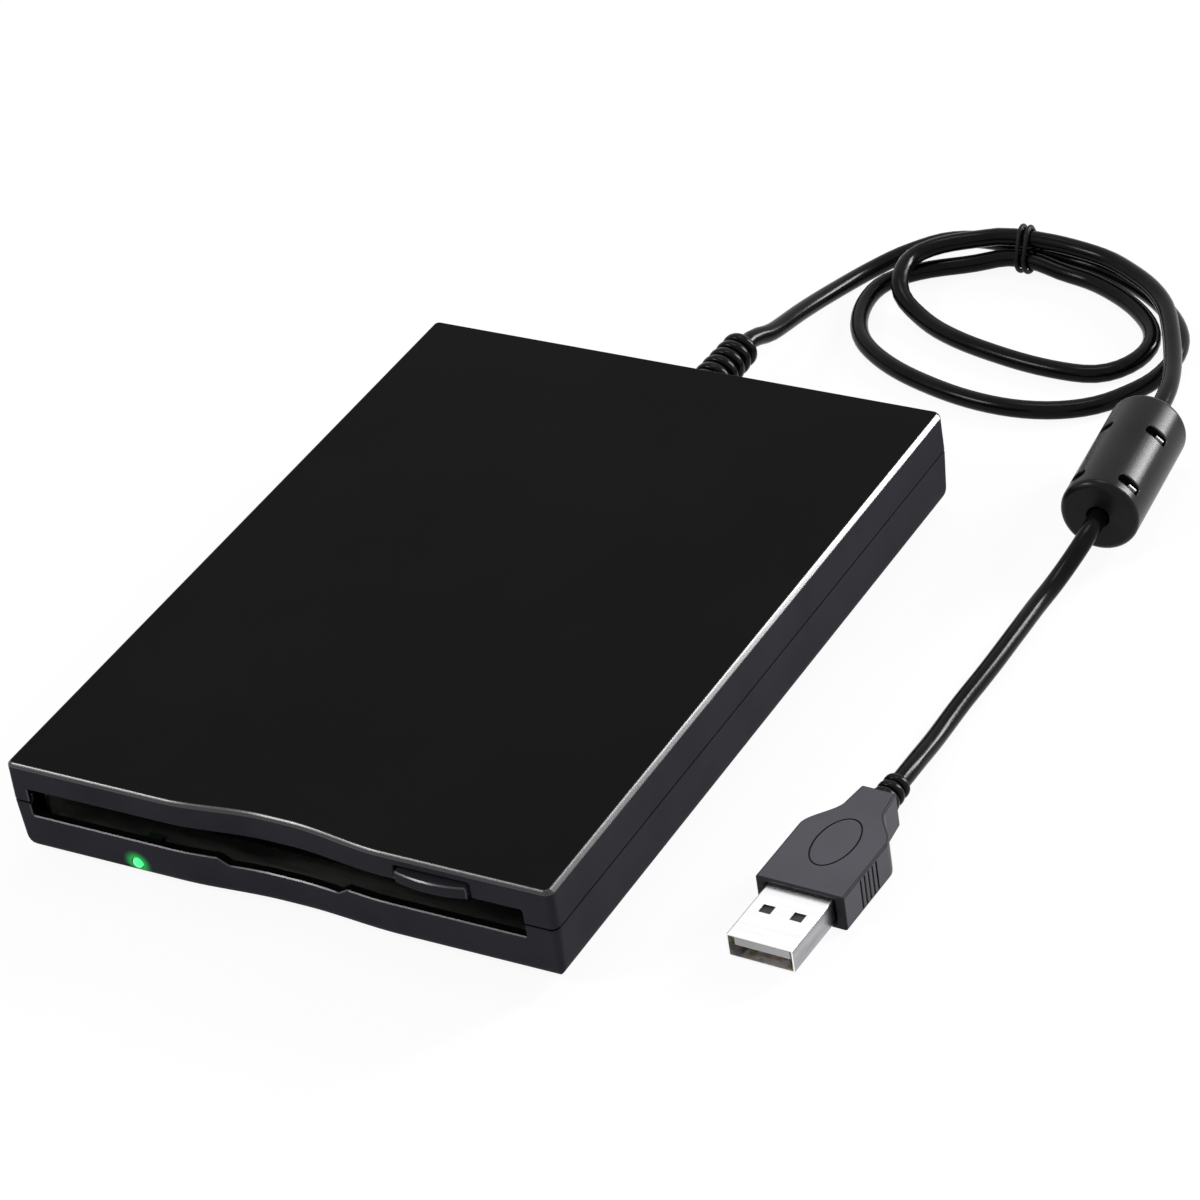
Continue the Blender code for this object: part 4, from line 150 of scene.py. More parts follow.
# The walls of both halves are the top's black plastic coloured much lighter: painted light.
TOP = surface("cover_top", grey(0.0045), grey(0.0053), (0.36, 0.42), 2600, 0.02, spec=0.012, patch=40)
EDGE = surface("case_edge", grey(0.014, 1.1), grey(0.018, 1.1), (0.20, 0.23), 1800, 0.004, spec=0.5)
WALLS_PAINTED_LIGHT = surface("case_walls_painted_light", grey(0.020, 1.22), grey(0.025, 1.22), (0.42, 0.52), 5200, 0.10, spec=0.006)
# Darker than the outside plastic: painted shade inside the case and on the slot's walls.
INSIDE_PAINTED_SHADE = surface("case_inside_painted_shade", grey(0.0015), grey(0.0025), (0.6, 0.7), 5200, 0.1, spec=0.005)
BUTTON = surface("button_moulded", grey(0.018, 1.20), grey(0.022, 1.20), (0.40, 0.50), 5200, 0.06, spec=0.015)
RUBBER = surface("soft_black", grey(0.008), grey(0.013), (0.45, 0.62), 3800, 0.25, spec=0.25)
BOOT = surface("boot_black", grey(0.003), grey(0.005), (0.18, 0.26), 3000, 0.06, spec=0.09)
JACKET = surface("cord_jacket_gloss", grey(0.002), grey(0.004), (0.14, 0.22), 1400, 0.05, spec=0.08,
                 patch=260)
TIE = surface("tie_coating", grey(0.004), grey(0.007), (0.3, 0.45), 5000, 0.2, spec=0.12)
FERRITE = surface("ferrite_moulding", grey(0.004), grey(0.007), (0.24, 0.31), 3200, 0.05, spec=0.13)
PLUG = surface("plug_moulding", grey(0.056, 1.14), grey(0.066, 1.14), (0.46, 0.58), 4200, 0.16, spec=0.10)
# Dark for the plug's edges, grooves and front: painted shade.
PLUG_PAINTED_SHADE = surface("plug_edge_painted_shade", grey(0.012, 1.15), grey(0.016, 1.15), (0.4, 0.5), 4200, 0.1, spec=0.1)
SHELL = surface("shell_nickel", (0.92, 0.92, 0.93), (0.97, 0.97, 0.97), (0.22, 0.32), 2200, 0.02,
                metallic=1.0, stretch=(1, 14, 1))
# The shell's nickel coloured darker on its sides: painted shade.
SHELL_SIDE_PAINTED_SHADE = surface("shell_side_painted_shade", (0.30, 0.30, 0.31), (0.46, 0.46, 0.47), (0.24, 0.34), 1600, 0.03,
                     metallic=1.0, stretch=(1, 1, 5), patch=160)
GOLD = surface("contact_gold", (0.80, 0.56, 0.22), (0.90, 0.66, 0.30), (0.16, 0.26), 3000, 0.03,
               metallic=1.0)
PLUG_CORE = surface("insulator_white", grey(0.34), grey(0.40), (0.38, 0.50), 3000, 0.05, spec=0.3)
STEEL = surface("rolled_steel", (0.52, 0.52, 0.50), (0.66, 0.66, 0.64), (0.26, 0.42), 2400, 0.06,
                metallic=1.0, stretch=(1, 12, 1))
NICKEL = surface("bright_nickel", (0.74, 0.74, 0.73), (0.84, 0.84, 0.83), (0.14, 0.26), 2400, 0.03,
                 metallic=1.0, stretch=(10, 1, 1))
GREY_PLASTIC = surface("moulded_grey", grey(0.13, 1.04), grey(0.17, 1.04), (0.42, 0.56), 4200, 0.14,
                       spec=0.4)
WHITE_PLASTIC = surface("moulded_white", (0.66, 0.66, 0.63), (0.76, 0.76, 0.73), (0.40, 0.52), 4200, 0.08)
DIODE = surface("diode_case", (0.002, 0.012, 0.004), (0.003, 0.018, 0.006), (0.4, 0.5), 3000, 0.05,
                spec=0.1)
CHIP = surface("chip_epoxy", grey(0.012), grey(0.018), (0.5, 0.66), 7000, 0.22, spec=0.35)
BRASS = surface("turned_brass", (0.62, 0.44, 0.17), (0.74, 0.56, 0.26), (0.24, 0.38), 2600, 0.05,
                metallic=1.0, stretch=(1, 1, 12))
CORE = surface("sintered_core", grey(0.040), grey(0.070), (0.50, 0.70), 6000, 0.35, spec=0.4, patch=700)
WINDING = surface("wound_copper", (0.58, 0.22, 0.08), (0.78, 0.36, 0.14), (0.26, 0.42), 3000, 0.05,
                  metallic=1.0)


def board_material():
    """Green solder mask with copper runs and small pads under it."""
    mat = surface("solder_mask", (0.006, 0.060, 0.024), (0.010, 0.085, 0.034), (0.30, 0.42), 3600, 0.05,
                  patch=300)
    tree = mat.node_tree
    shader = tree.nodes["Principled BSDF"]
    place = add(tree, "ShaderNodeTexCoord")
    cells = add(tree, "ShaderNodeTexVoronoi", {"Vector": place.outputs["Object"], "Scale": 420.0},
                distance="CHEBYCHEV")
    runs = add(tree, "ShaderNodeMath", {0: cells.outputs["Distance"], 1: 0.46}, operation="GREATER_THAN")
    under = shader.inputs["Base Color"].links[0].from_socket
    mix = add(tree, "ShaderNodeMix", {"Factor": runs.outputs[0], "A": under}, data_type="RGBA")
    mix.inputs["B"].default_value = (0.022, 0.16, 0.060, 1)
    tree.links.new(mix.outputs["Result"], shader.inputs["Base Color"])
    return mat


def banded(name, base, other, scale, axis, metallic=0.0):
    """A material with straight bands across it, for a ribbon's wires or a screw's thread."""
    mat = surface(name, base, base, (0.30, 0.42), 3000, 0.05, metallic=metallic)
    tree = mat.node_tree
    shader = tree.nodes["Principled BSDF"]
    place = add(tree, "ShaderNodeTexCoord")
    bands = add(tree, "ShaderNodeTexWave", {"Vector": place.outputs["Object"], "Scale": scale},
                bands_direction=axis)
    mix = add(tree, "ShaderNodeMix", {"Factor": bands.outputs["Fac"]}, data_type="RGBA")
    mix.inputs["A"].default_value = (*base, 1)
    mix.inputs["B"].default_value = (*other, 1)
    tree.links.new(mix.outputs["Result"], shader.inputs["Base Color"])
    relief = add(tree, "ShaderNodeBump", {"Height": bands.outputs["Fac"], "Strength": 0.5,
                                          "Distance": 0.0002})
    tree.links.new(relief.outputs["Normal"], shader.inputs["Normal"])
    return mat


BOARD = board_material()
RIBBON = banded("ribbon_wires", (0.42, 0.28, 0.10), (0.62, 0.44, 0.20), 300.0, "X")
THREAD = banded("screw_thread", (0.62, 0.44, 0.17), (0.30, 0.20, 0.08), 110.0, "Y", metallic=1.0)


LED_MIDDLE = (LED_X, CASE_Y + FRONT + 0.0007, LED_Z)
PALE_FROM, PALE_TO = 0.0002, LED_R * 1.15
GLOW_FROM, GLOW_TO = LED_R * 0.8, 0.0029
GLOW_FALL, GLOW_STRENGTH = 1.8, 1.5


def distance_from(tree, point):
    """How far a shaded point is from a fixed one."""
    place = add(tree, "ShaderNodeTexCoord")
    return add(tree, "ShaderNodeVectorMath", {0: place.outputs["Object"], 1: point},
               operation="DISTANCE").outputs["Value"]


def lens_material():
    """The lit indicator: bright and pale in the middle, green at its rim."""
    mat = surface("green_lens", (0.04, 0.55, 0.16), (0.05, 0.62, 0.20), (0.10, 0.16), 3000, 0.02)
    tree = mat.node_tree
    shader = tree.nodes["Principled BSDF"]
    away = distance_from(tree, LED_MIDDLE)
    core = add(tree, "ShaderNodeMapRange", {"Value": away, "From Min": PALE_FROM, "From Max": PALE_TO,
                                            "To Min": 1.0, "To Max": 0.0}, interpolation_type="SMOOTHSTEP")
    mix = add(tree, "ShaderNodeMix", {"Factor": core.outputs["Result"]}, data_type="RGBA")
    mix.inputs["A"].default_value = (0.05, 0.70, 0.20, 1)
    mix.inputs["B"].default_value = (0.78, 1.0, 0.88, 1)
    tree.links.new(mix.outputs["Result"], shader.inputs["Emission Color"])
    shader.inputs["Emission Strength"].default_value = 1.15
    return mat


def paint_glow_round_lens(mat):
    """A green glow painted into the plastic round the indicator: emission that fades with distance from it.
    """
    tree = mat.node_tree
    shader = tree.nodes["Principled BSDF"]
    away = distance_from(tree, LED_MIDDLE)
    near = add(tree, "ShaderNodeMapRange", {"Value": away, "From Min": GLOW_FROM, "From Max": GLOW_TO,
                                            "To Min": 1.0, "To Max": 0.0})
    falling = add(tree, "ShaderNodeMath", {0: near.outputs["Result"], 1: GLOW_FALL}, operation="POWER")
    strength = add(tree, "ShaderNodeMath", {0: falling.outputs[0], 1: GLOW_STRENGTH}, operation="MULTIPLY")
    shader.inputs["Emission Color"].default_value = (0.006, 0.42, 0.07, 1)
    tree.links.new(strength.outputs[0], shader.inputs["Emission Strength"])


LENS = lens_material()
# The bottom's walls: painted light, lighter than the cover's top, with a painted glow round the indicator.
LOWER_WALLS_LIGHT_AND_GLOW = surface("lower_walls_painted_light_and_glow", grey(0.021, 1.22), grey(0.026, 1.22), (0.42, 0.52), 5200, 0.10,
                      spec=0.006)
paint_glow_round_lens(LOWER_WALLS_LIGHT_AND_GLOW)


# Mesh helpers
SHARP_ANGLE, RIB_SHARP_ANGLE = 35, 60
RING_FULLNESS = 0.6


def piece(name, mesh, mats, place=None, nodes=(), body="housing", sharp=SHARP_ANGLE):
    """A shown piece on a body and the CAD nodes that it stands for."""
    obj = bpy.data.objects.new(name, mesh)
    bpy.context.scene.collection.objects.link(obj)
    if place is not None:
        obj.matrix_world = place
    for mat in mats:
        mesh.materials.append(mat)
    mesh.shade_smooth()
    mesh.set_sharp_from_angle(angle=math.radians(sharp))
    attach(obj, body)
    if nodes:
        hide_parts(*nodes)
    return obj


def to_mesh(bm, name):
    """A mesh made from bm, which is freed."""
    mesh = bpy.data.meshes.new(name)
    bmesh.ops.recalc_face_normals(bm, faces=bm.faces)
    bm.to_mesh(mesh)
    bm.free()
    return mesh


def tool_from(bm, place=None):
    """An object that shape() cuts or joins with and then deletes."""
    obj = bpy.data.objects.new("tool", to_mesh(bm, "tool"))
    bpy.context.scene.collection.objects.link(obj)
    if place is not None:
        obj.matrix_world = place
    return obj


def box_bm(low, high, bevel=0.0):
    """A box between two corners, its edges rounded where bevel is given."""
    low, high = Vector(low), Vector(high)
    bm = bmesh.new()
    bmesh.ops.create_cube(bm, size=1)
    bmesh.ops.scale(bm, vec=high - low, verts=bm.verts)
    bmesh.ops.translate(bm, vec=(low + high) / 2, verts=bm.verts)
    if bevel:
        bmesh.ops.bevel(bm, geom=bm.edges, offset=bevel, segments=2, profile=0.5, affect="EDGES")
    return bm


def rod_bm(radius, start, end):
    """A round rod from start to end."""
    start, end = Vector(start), Vector(end)
    along = end - start
    bm = bmesh.new()
    bmesh.ops.create_cone(bm, cap_ends=True, segments=48, radius1=radius, radius2=radius,
                          depth=along.length)
    turn = along.to_track_quat("Z", "Y").to_matrix().to_4x4()
    bmesh.ops.transform(bm, matrix=Matrix.Translation((start + end) / 2) @ turn, verts=bm.verts)
    return bm


def prism_bm(outline, low, high, lift):
    """An outline carried between two levels. lift turns (u, v, level) into a point."""
    bm = bmesh.new()
    ends = [[bm.verts.new(lift(u, v, level)) for u, v in outline] for level in (low, high)]
    count = len(outline)
    for i in range(count):
        j = (i + 1) % count
        bm.faces.new((ends[0][i], ends[0][j], ends[1][j], ends[1][i]))
    bm.faces.new(list(reversed(ends[0])))
    bm.faces.new(ends[1])
    return bm


def turned_bm(profile, sides, closed=False):
    """A profile of (radius, height) swept round Z."""
    bm = bmesh.new()
    rings = []
    for r, z in profile:
        if r == 0:
            rings.append([bm.verts.new((0, 0, z))])
            continue
        rings.append([bm.verts.new((r * math.cos(math.tau * i / sides), r * math.sin(math.tau * i / sides),
                                    z)) for i in range(sides)])
    pairs = list(zip(rings, rings[1:]))
    if closed:
        pairs.append((rings[-1], rings[0]))
    for a, b in pairs:
        for i in range(sides):
            j = (i + 1) % sides
            if len(a) == 1 and len(b) > 1:
                bm.faces.new((a[0], b[j], b[i]))
            elif len(b) == 1 and len(a) > 1:
                bm.faces.new((a[i], a[j], b[0]))
            elif len(a) > 1:
                bm.faces.new((a[i], a[j], b[j], b[i]))
    return bm


def shape(obj, cuts=(), joins=(), bevel=0.0, segments=1, edge_slot=-1, angle=50):
    """Cut and join a piece with tools, round its sharp edges, and keep the result as its mesh."""
    for operation, tools in (("UNION", joins), ("DIFFERENCE", cuts)):
        for other in tools:
            mod = obj.modifiers.new("shape", "BOOLEAN")
            mod.operation = operation
            mod.solver = "EXACT"
            mod.object = other
    if bevel:
        mod = obj.modifiers.new("edges", "BEVEL")
        mod.width = bevel
        mod.segments = segments
        mod.limit_method = "ANGLE"
        mod.angle_limit = math.radians(angle)
        mod.use_clamp_overlap = False
        mod.harden_normals = False
        mod.miter_outer = "MITER_ARC"
        if edge_slot >= 0:
            mod.material = edge_slot
    graph = bpy.context.evaluated_depsgraph_get()
    graph.update()
    mesh = bpy.data.meshes.new_from_object(obj.evaluated_get(graph))
    for other in list(cuts) + list(joins):
        bpy.data.objects.remove(other, do_unlink=True)
    obj.modifiers.clear()
    obj.data = mesh
    mesh.shade_smooth()
    mesh.set_sharp_from_angle(angle=math.radians(SHARP_ANGLE))
    flat = obj.modifiers.new("normals", "WEIGHTED_NORMAL")
    flat.keep_sharp = True
    return obj


def arc(cx, cy, radius, start, end, steps):
    """Points along part of a circle."""
    return [(cx + radius * math.cos(start + (end - start) * i / steps),
             cy + radius * math.sin(start + (end - start) * i / steps)) for i in range(steps + 1)]


def corner_arcs(half_w, half_d, radius, steps):
    """The four round corners of a rectangle, from the front right one round."""
    points = []
    for sx, sy, start in ((1, -1, -QUARTER), (1, 1, 0), (-1, 1, QUARTER), (-1, -1, math.pi)):
        points += arc(sx * (half_w - radius), sy * (half_d - radius), radius, start, start + QUARTER, steps)
    return points


def ring_profile(radius, deep, top, width):
    """One round ring of a ribbed boot, as (radius, height) from its top down."""
    steps = 8
    points = []
    for k in range(steps + 1):
        angle = math.pi * k / steps
        points.append((radius - deep + deep * math.sin(angle) ** RING_FULLNESS,
                       top - width / 2 + width / 2 * math.cos(angle)))
    return points


def strand(name, points, radius, resolution, mat):
    """A round strand through a row of points."""
    curve = bpy.data.curves.new(name, "CURVE")
    curve.dimensions = "3D"
    curve.bevel_depth = radius
    curve.bevel_resolution = resolution
    curve.use_fill_caps = True
    spline = curve.splines.new("POLY")
    spline.points.add(len(points) - 1)
    for point, co in zip(spline.points, points):
        point.co = (*co, 1)
    spline.use_smooth = True
    curve.materials.append(mat)
    obj = bpy.data.objects.new(name, curve)
    bpy.context.scene.collection.objects.link(obj)
    return obj


def smooth_step(t):
    t = min(max(t, 0), 1)
    return t * t * (3 - 2 * t)


def wave(x):
    """The share of the front's dip at x."""
    return 1 - smooth_step((abs(x) - WAVE_FLAT) / (WAVE_HALF - WAVE_FLAT))


def dip_at(z):
    """How deep the front's dip is at a height."""
    return DEEP_BOTTOM + (DEEP_TOP - DEEP_BOTTOM) * (z - FOOT_H) / CASE_H


# Cord
CORD_STEP = 0.0022


def smooth_route(route):
    """Points at even steps along a smooth curve. The route's first and last stretch stay straight."""
    pts = [Vector(p if len(p) == 3 else (*p, CORD_R)) for p in route]
    dense = []
    parts = 24
    for p0, p1, p2, p3 in zip(pts, pts[1:], pts[2:], pts[3:]):
        for i in range(parts):
            t = i / parts
            dense.append(0.5 * (2 * p1 + (p2 - p0) * t + (2 * p0 - 5 * p1 + 4 * p2 - p3) * t * t
                                + (3 * p1 - p0 - 3 * p2 + p3) * t * t * t))
    dense.append(pts[-2])
    total = sum((b - a).length for a, b in zip(dense, dense[1:]))
    count = round(total / CORD_STEP)
    out = [dense[0]]
    gone = 0
    for a, b in zip(dense, dense[1:]):
        length = (b - a).length
        while gone + length >= total / count * len(out) and len(out) < count:
            out.append(a.lerp(b, (total / count * len(out) - gone) / length))
        gone += length
    out = [pts[0]] + out + [dense[-1], pts[-1]]
    for point in out:
        point.z = max(point.z, CORD_R)
    return out


# Where the strands, the ferrite and the plug lie
STRAND_STEP = CORD_D + 0.0006
TIE_WIRE_R = 0.00045
TIE_X, TIE_Y = 0.0319, 0.1480
TIE_LOW_Z = CORD_R + 2 * TIE_WIRE_R + 2 * GAP
TIE_TOP_Z = TIE_LOW_Z + STRAND_STEP * math.sqrt(3) / 2
TIE_BACK_Y, TIE_FRONT_Y = TIE_Y + STRAND_STEP / 2, TIE_Y - STRAND_STEP / 2
FERRITE_R, FERRITE_L, FERRITE_YAW = 0.0071, 0.0290, math.radians(5.6)
FERRITE_ALONG = Vector((math.sin(FERRITE_YAW), -math.cos(FERRITE_YAW), 0))
FERRITE_MIDDLE = Vector((0.0816, 0.0806, FERRITE_R))
FERRITE_BACK = FERRITE_MIDDLE - FERRITE_ALONG * (FERRITE_L / 2)
FERRITE_FRONT = FERRITE_MIDDLE + FERRITE_ALONG * (FERRITE_L / 2)
PLUG_YAW = math.radians(-2.0)
PLUG_ALONG = Vector((math.sin(PLUG_YAW), -math.cos(PLUG_YAW), 0))
PLUG_W, PLUG_H, PLUG_NECK_W = 0.0160, 0.0066, 0.0063
PLUG_FLAT, PLUG_SHOULDER, PLUG_NECK = 0.0162, 0.0063, 0.0046
PLUG_L = PLUG_FLAT + PLUG_SHOULDER + PLUG_NECK
RELIEF_L = 0.0060
PLUG_FACE = Vector((0.0795, -0.0419, PLUG_H / 2))
RELIEF_END = PLUG_FACE - PLUG_ALONG * (PLUG_L + RELIEF_L)

# The cord's routes. A point without a height lies on the table
BOOT_END = CASE_Y + BACK + BOOT_L
LEAD_IN = [
    (0.0, BOOT_END - 0.0002, BOOT_Z), (0.0, BOOT_END + CORD_D, BOOT_Z), (0.0010, 0.1012, 0.0081),
    (0.0010, 0.1076, 0.0066), (0.0010, 0.1134, 0.0054), (0.0014, 0.1208, 0.0039), (0.0022, 0.1275, 0.0027),
    (0.0034, 0.1335, 0.0019), (0.0052, 0.1383), (0.0074, 0.1427), (0.0102, 0.1463, 0.0018),
    (0.0136, 0.1492, 0.0022), (0.0188, 0.1508, 0.0026), (0.0242, 0.1507, 0.0030),
    (TIE_X - CORD_D, TIE_BACK_Y, TIE_LOW_Z), (TIE_X - GAP / 2, TIE_BACK_Y, TIE_LOW_Z),
]
COIL = [
    (TIE_X + GAP / 2, TIE_BACK_Y, TIE_LOW_Z), (TIE_X + CORD_D, TIE_BACK_Y, TIE_LOW_Z),
    (0.0375, 0.1503, 0.0022), (0.0450, 0.1496), (0.0523, 0.1469), (0.0590, 0.1432), (0.0649, 0.1384),
    (0.0694, 0.1330), (0.0717, 0.1276), (0.0722, 0.1218), (0.0713, 0.1161), (0.0689, 0.1114),
    (0.0652, 0.1063), (0.0599, 0.1028), (0.0538, 0.1009), (0.0471, 0.1004), (0.0396, 0.1012),
    (0.0322, 0.1031), (0.0253, 0.1056), (0.0192, 0.1089), (0.0140, 0.1131), (0.0106, 0.1182),
    (0.0086, 0.1242), (0.0082, 0.1296), (0.0092, 0.1337), (0.0117, 0.1368), (0.0159, 0.1403),
    (0.0229, 0.1434, 0.0022), (0.0285, 0.1458, 0.0032), (TIE_X, TIE_FRONT_Y, TIE_LOW_Z),
    (0.0353, 0.1460, 0.0031), (0.0397, 0.1454, 0.0022), (0.0457, 0.1448), (0.0517, 0.1423),
    (0.0573, 0.1389), (0.0618, 0.1350), (0.0649, 0.1309), (0.0663, 0.1263), (0.0658, 0.1220),
    (0.0638, 0.1180), (0.0603, 0.1152), (0.0546, 0.1145), (0.0474, 0.1149), (0.0397, 0.1163),
    (0.0320, 0.1183), (0.0251, 0.1211), (0.0191, 0.1247, 0.0022), (0.0157, 0.1268, 0.0033),
    (0.0141, 0.1289, 0.0045), (0.0131, 0.1325, 0.0053), (0.0127, 0.1365, 0.0055), (0.0141, 0.1397, 0.0057),
    (0.0170, 0.1429, 0.0058), (0.0213, 0.1455, 0.0059), (TIE_X - CORD_D, TIE_Y, TIE_TOP_Z),
    (TIE_X - GAP / 2, TIE_Y, TIE_TOP_Z),
]
LEAD_OUT = [
    (TIE_X + GAP / 2, TIE_Y, TIE_TOP_Z), (TIE_X + CORD_D, TIE_Y, TIE_TOP_Z), (0.0410, 0.1480, 0.0063),
    (0.0489, 0.1469, 0.0058), (0.0549, 0.1440, 0.0057), (0.0612, 0.1397, 0.0058), (0.0663, 0.1343, 0.0058),
    (0.0703, 0.1273, 0.0059), (0.0727, 0.1225, 0.0059), (0.0749, 0.1176, 0.0060), (0.0769, 0.1124, 0.0063),
    (0.0786, 0.1066, 0.0068), tuple(FERRITE_BACK - FERRITE_ALONG * CORD_D),
    tuple(FERRITE_BACK - FERRITE_ALONG * GAP),
]
TAIL = [
    tuple(FERRITE_FRONT + FERRITE_ALONG * GAP), tuple(FERRITE_FRONT + FERRITE_ALONG * CORD_D),
    (0.0828, 0.0602, 0.0058), (0.0820, 0.0570, 0.0042), (0.0812, 0.0536, 0.0028), (0.0806, 0.0498, 0.0019),
    (0.0803, 0.0462), (0.0803, 0.0410), (0.0803, 0.0350), (0.0803, 0.0290), (0.0802, 0.0230),
    (0.0800, 0.0170), (0.0800, 0.0115), (0.0801, 0.0070, 0.0018), (0.0803, 0.0030, 0.0022),
    (0.0805, -0.0015, 0.0028), tuple(RELIEF_END - PLUG_ALONG * CORD_D),
    tuple(RELIEF_END - PLUG_ALONG * 0.0001),
]


def make_cord():
    """One cord from the boot, through the tie, two loops and the ferrite, to the plug."""
    lead, coil, out, tail = [smooth_route(route) for route in (LEAD_IN, COIL, LEAD_OUT, TAIL)]
    points = lead[:-1] + coil[1:-1] + out[1:] + tail
    inner = [(a + 2 * b + c) / 4 for a, b, c in zip(points, points[1:], points[2:])]
    eased = [points[0]] + inner + [points[-1]]
    for point in eased:
        point.z = max(point.z, CORD_R)
    obj = strand("cord", eased, CORD_R, 6, JACKET)
    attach(obj, "housing")
    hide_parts("cord_lead_in", "cord_coil", "cord_lead_out", "cord_in_core", "cord_tail")
    return obj


cord = make_cord()


# Case
WAVE_STEPS, CORNER_STEPS = 48, 14
RUBBED_EDGE = 0.0002
NECK_HOLE_R, NECK_HOLE_L = 0.0033, 0.0022
SEAM_BAND = 0.0010
SCREW_X, SCREW_Y = 0.0429, BACK - 0.0065
BOSS_MEET = SPLIT - WALL
COVER_BOSS_R, BOTTOM_BOSS_R, SCREW_HOLE_R = 0.0023, 0.0034, 0.0013
SCREW_HEAD_R, SCREW_HEAD_DEEP = 0.0024, 0.0018
CHASSIS_POST_X, CHASSIS_POST_SHIFT, CHASSIS_POST_YS = 0.0410, 0.0012, (-0.0536, 0.0447)
CHASSIS_POST_R, CHASSIS_POST_H, CHASSIS_HOLE_R, CHASSIS_HOLE_H = 0.0022, 0.0013, 0.0011, 0.0025
BOARD_POST_X, BOARD_POST_Y, BOARD_POST_R, BOARD_POST_H = 0.026, 0.0636, 0.0015, 0.0017
FOOT_X, FOOT_Y, FOOT_RECESS_R, FOOT_RECESS = 0.0404, 0.056, 0.0048, 0.0006
LENS_FIT = 0.00004
BUTTON_DEEP, BUTTON_EDGE = 0.0066, 0.00022
SOCKET_HALF, SOCKET_DEEP, SOCKET_TOP = 0.0043, 0.003, 0.0160

# Material indexes of a case half: its face, rubbed edges and inside, and the cover's walls. The walls are
# painted light, lighter than the top; the inside, also on the slot's walls, is painted shade; on the plug the
# edge index is painted shade.
FACE, EDGE_GLOSS_AND_SHADE, SHADED_INSIDE, PAINTED_LIGHT_SIDES = range(4)


def case_outline(inset, end_inset, dip):
    """The outline of the case at one level, with the shallow wave in its front."""
    half_w = CASE_W / 2 - inset
    half_d = CASE_D / 2 - end_inset
    radius = max(CORNER_R - max(inset, end_inset), GAP)
    points = []
    for i in range(WAVE_STEPS + 1):
        x = -WAVE_HALF + 2 * WAVE_HALF * i / WAVE_STEPS
        points.append((x, -half_d + dip * wave(x)))
    return points + corner_arcs(half_w, half_d, radius, CORNER_STEPS)


def loft(rows, slots):
    """A hollow case half, from one cap to the other. slots names each band's material index."""
    bm = bmesh.new()
    rings = [[bm.verts.new((x, y + CASE_Y, z)) for x, y in case_outline(side, end, dip)]
             for side, end, z, dip in rows]
    for low, high, index in zip(rings, rings[1:], slots):
        for i in range(len(low)):
            j = (i + 1) % len(low)
            bm.faces.new((low[i], low[j], high[j], high[i])).material_index = index
    bm.faces.new(list(reversed(rings[0]))).material_index = FACE
    bm.faces.new(rings[-1]).material_index = SHADED_INSIDE
    return bm


# The cover's top edge, as (share of its height below the top, share of its width in from the side)
FLATTENED = ((0.0, 1.0), (0.05, 0.88), (0.13, 0.78), (0.30, 0.60), (0.50, 0.42), (0.70, 0.24), (0.84, 0.11),
             (0.93, 0.04), (1.0, 0.0))


def flattened(down):
    """How far in the edge is at a share of its height below the top."""
    for (a, p), (b, q) in zip(FLATTENED, FLATTENED[1:]):
        if down <= b:
            return p + (q - p) * (down - a) / (b - a)
    return 0.0


def cover_rows():
    """The cover's top edge: nearly flat, and wider across the sides than at the front."""
    rows = []
    for down, inset in FLATTENED:
        z = CASE_TOP - down * COVER_SIDE_R
        end = COVER_FRONT_R * flattened(down * COVER_SIDE_R / COVER_FRONT_R)
        rows.append((COVER_DRAFT + inset * COVER_SIDE_R, COVER_DRAFT + end, z, dip_at(z)))
    return rows


def bottom_rows():
    """The bottom's round lower edge."""
    steps = 8
    rows = []
    for i in range(steps + 1):
        angle = QUARTER * (1 - i / steps)
        inset = CASE_DRAFT + CASE_EDGE_R * (1 - math.cos(angle))
        z = FOOT_H + CASE_EDGE_R * (1 - math.sin(angle))
        rows.append((inset, inset, z, dip_at(z)))
    return rows


def slot_tool():
    """The disk slot with its finger notch. Its walls take the inside's dark material: painted shade."""
    outline = [
        (-SLOT_LEFT, SLOT_FLOOR), (-NOTCH_TOP, SLOT_FLOOR), (-NOTCH_FLOOR, SLOT_FLOOR - NOTCH_DEEP),
        (NOTCH_FLOOR, SLOT_FLOOR - NOTCH_DEEP), (NOTCH_TOP, SLOT_FLOOR), (SLOT_RIGHT, SLOT_FLOOR),
        (SLOT_RIGHT, SLOT_TOP), (-SLOT_LEFT, SLOT_TOP),
    ]
    bm = prism_bm(outline, CASE_Y + FRONT - OVERRUN, CASE_Y + FRONT_IN + CASE_DRAFT + DEEP_TOP + GAP,
                  lambda u, v, level: (u, level, v))
    for face in bm.faces:
        face.material_index = SHADED_INSIDE
    return tool_from(bm)


def box_tool(low, high):
    """A box given from the middle of the case."""
    shift = Vector((0, CASE_Y, 0))
    return tool_from(box_bm(Vector(low) + shift, Vector(high) + shift))


def rod_tool(radius, start, end):
    """A rod given from the middle of the case."""
    shift = Vector((0, CASE_Y, 0))
    return tool_from(rod_bm(radius, Vector(start) + shift, Vector(end) + shift))


def upright_tool(radius, x, y, low, high):
    return rod_tool(radius, (x, y, low), (x, y, high))


def neck_tool():
    return rod_tool(NECK_HOLE_R, (0, BACK_IN - NECK_HOLE_L, BOOT_Z), (0, BACK + OVERRUN, BOOT_Z))


def plain_seam(obj, index):
    """The seam between the halves takes the walls' material, painted lighter than the top, not that of the
    rubbed edges.
    """
    for face in obj.data.polygons:
        if face.material_index == EDGE_GLOSS_AND_SHADE and abs(face.center.z - SPLIT) < SEAM_BAND:
            face.material_index = index
    return obj


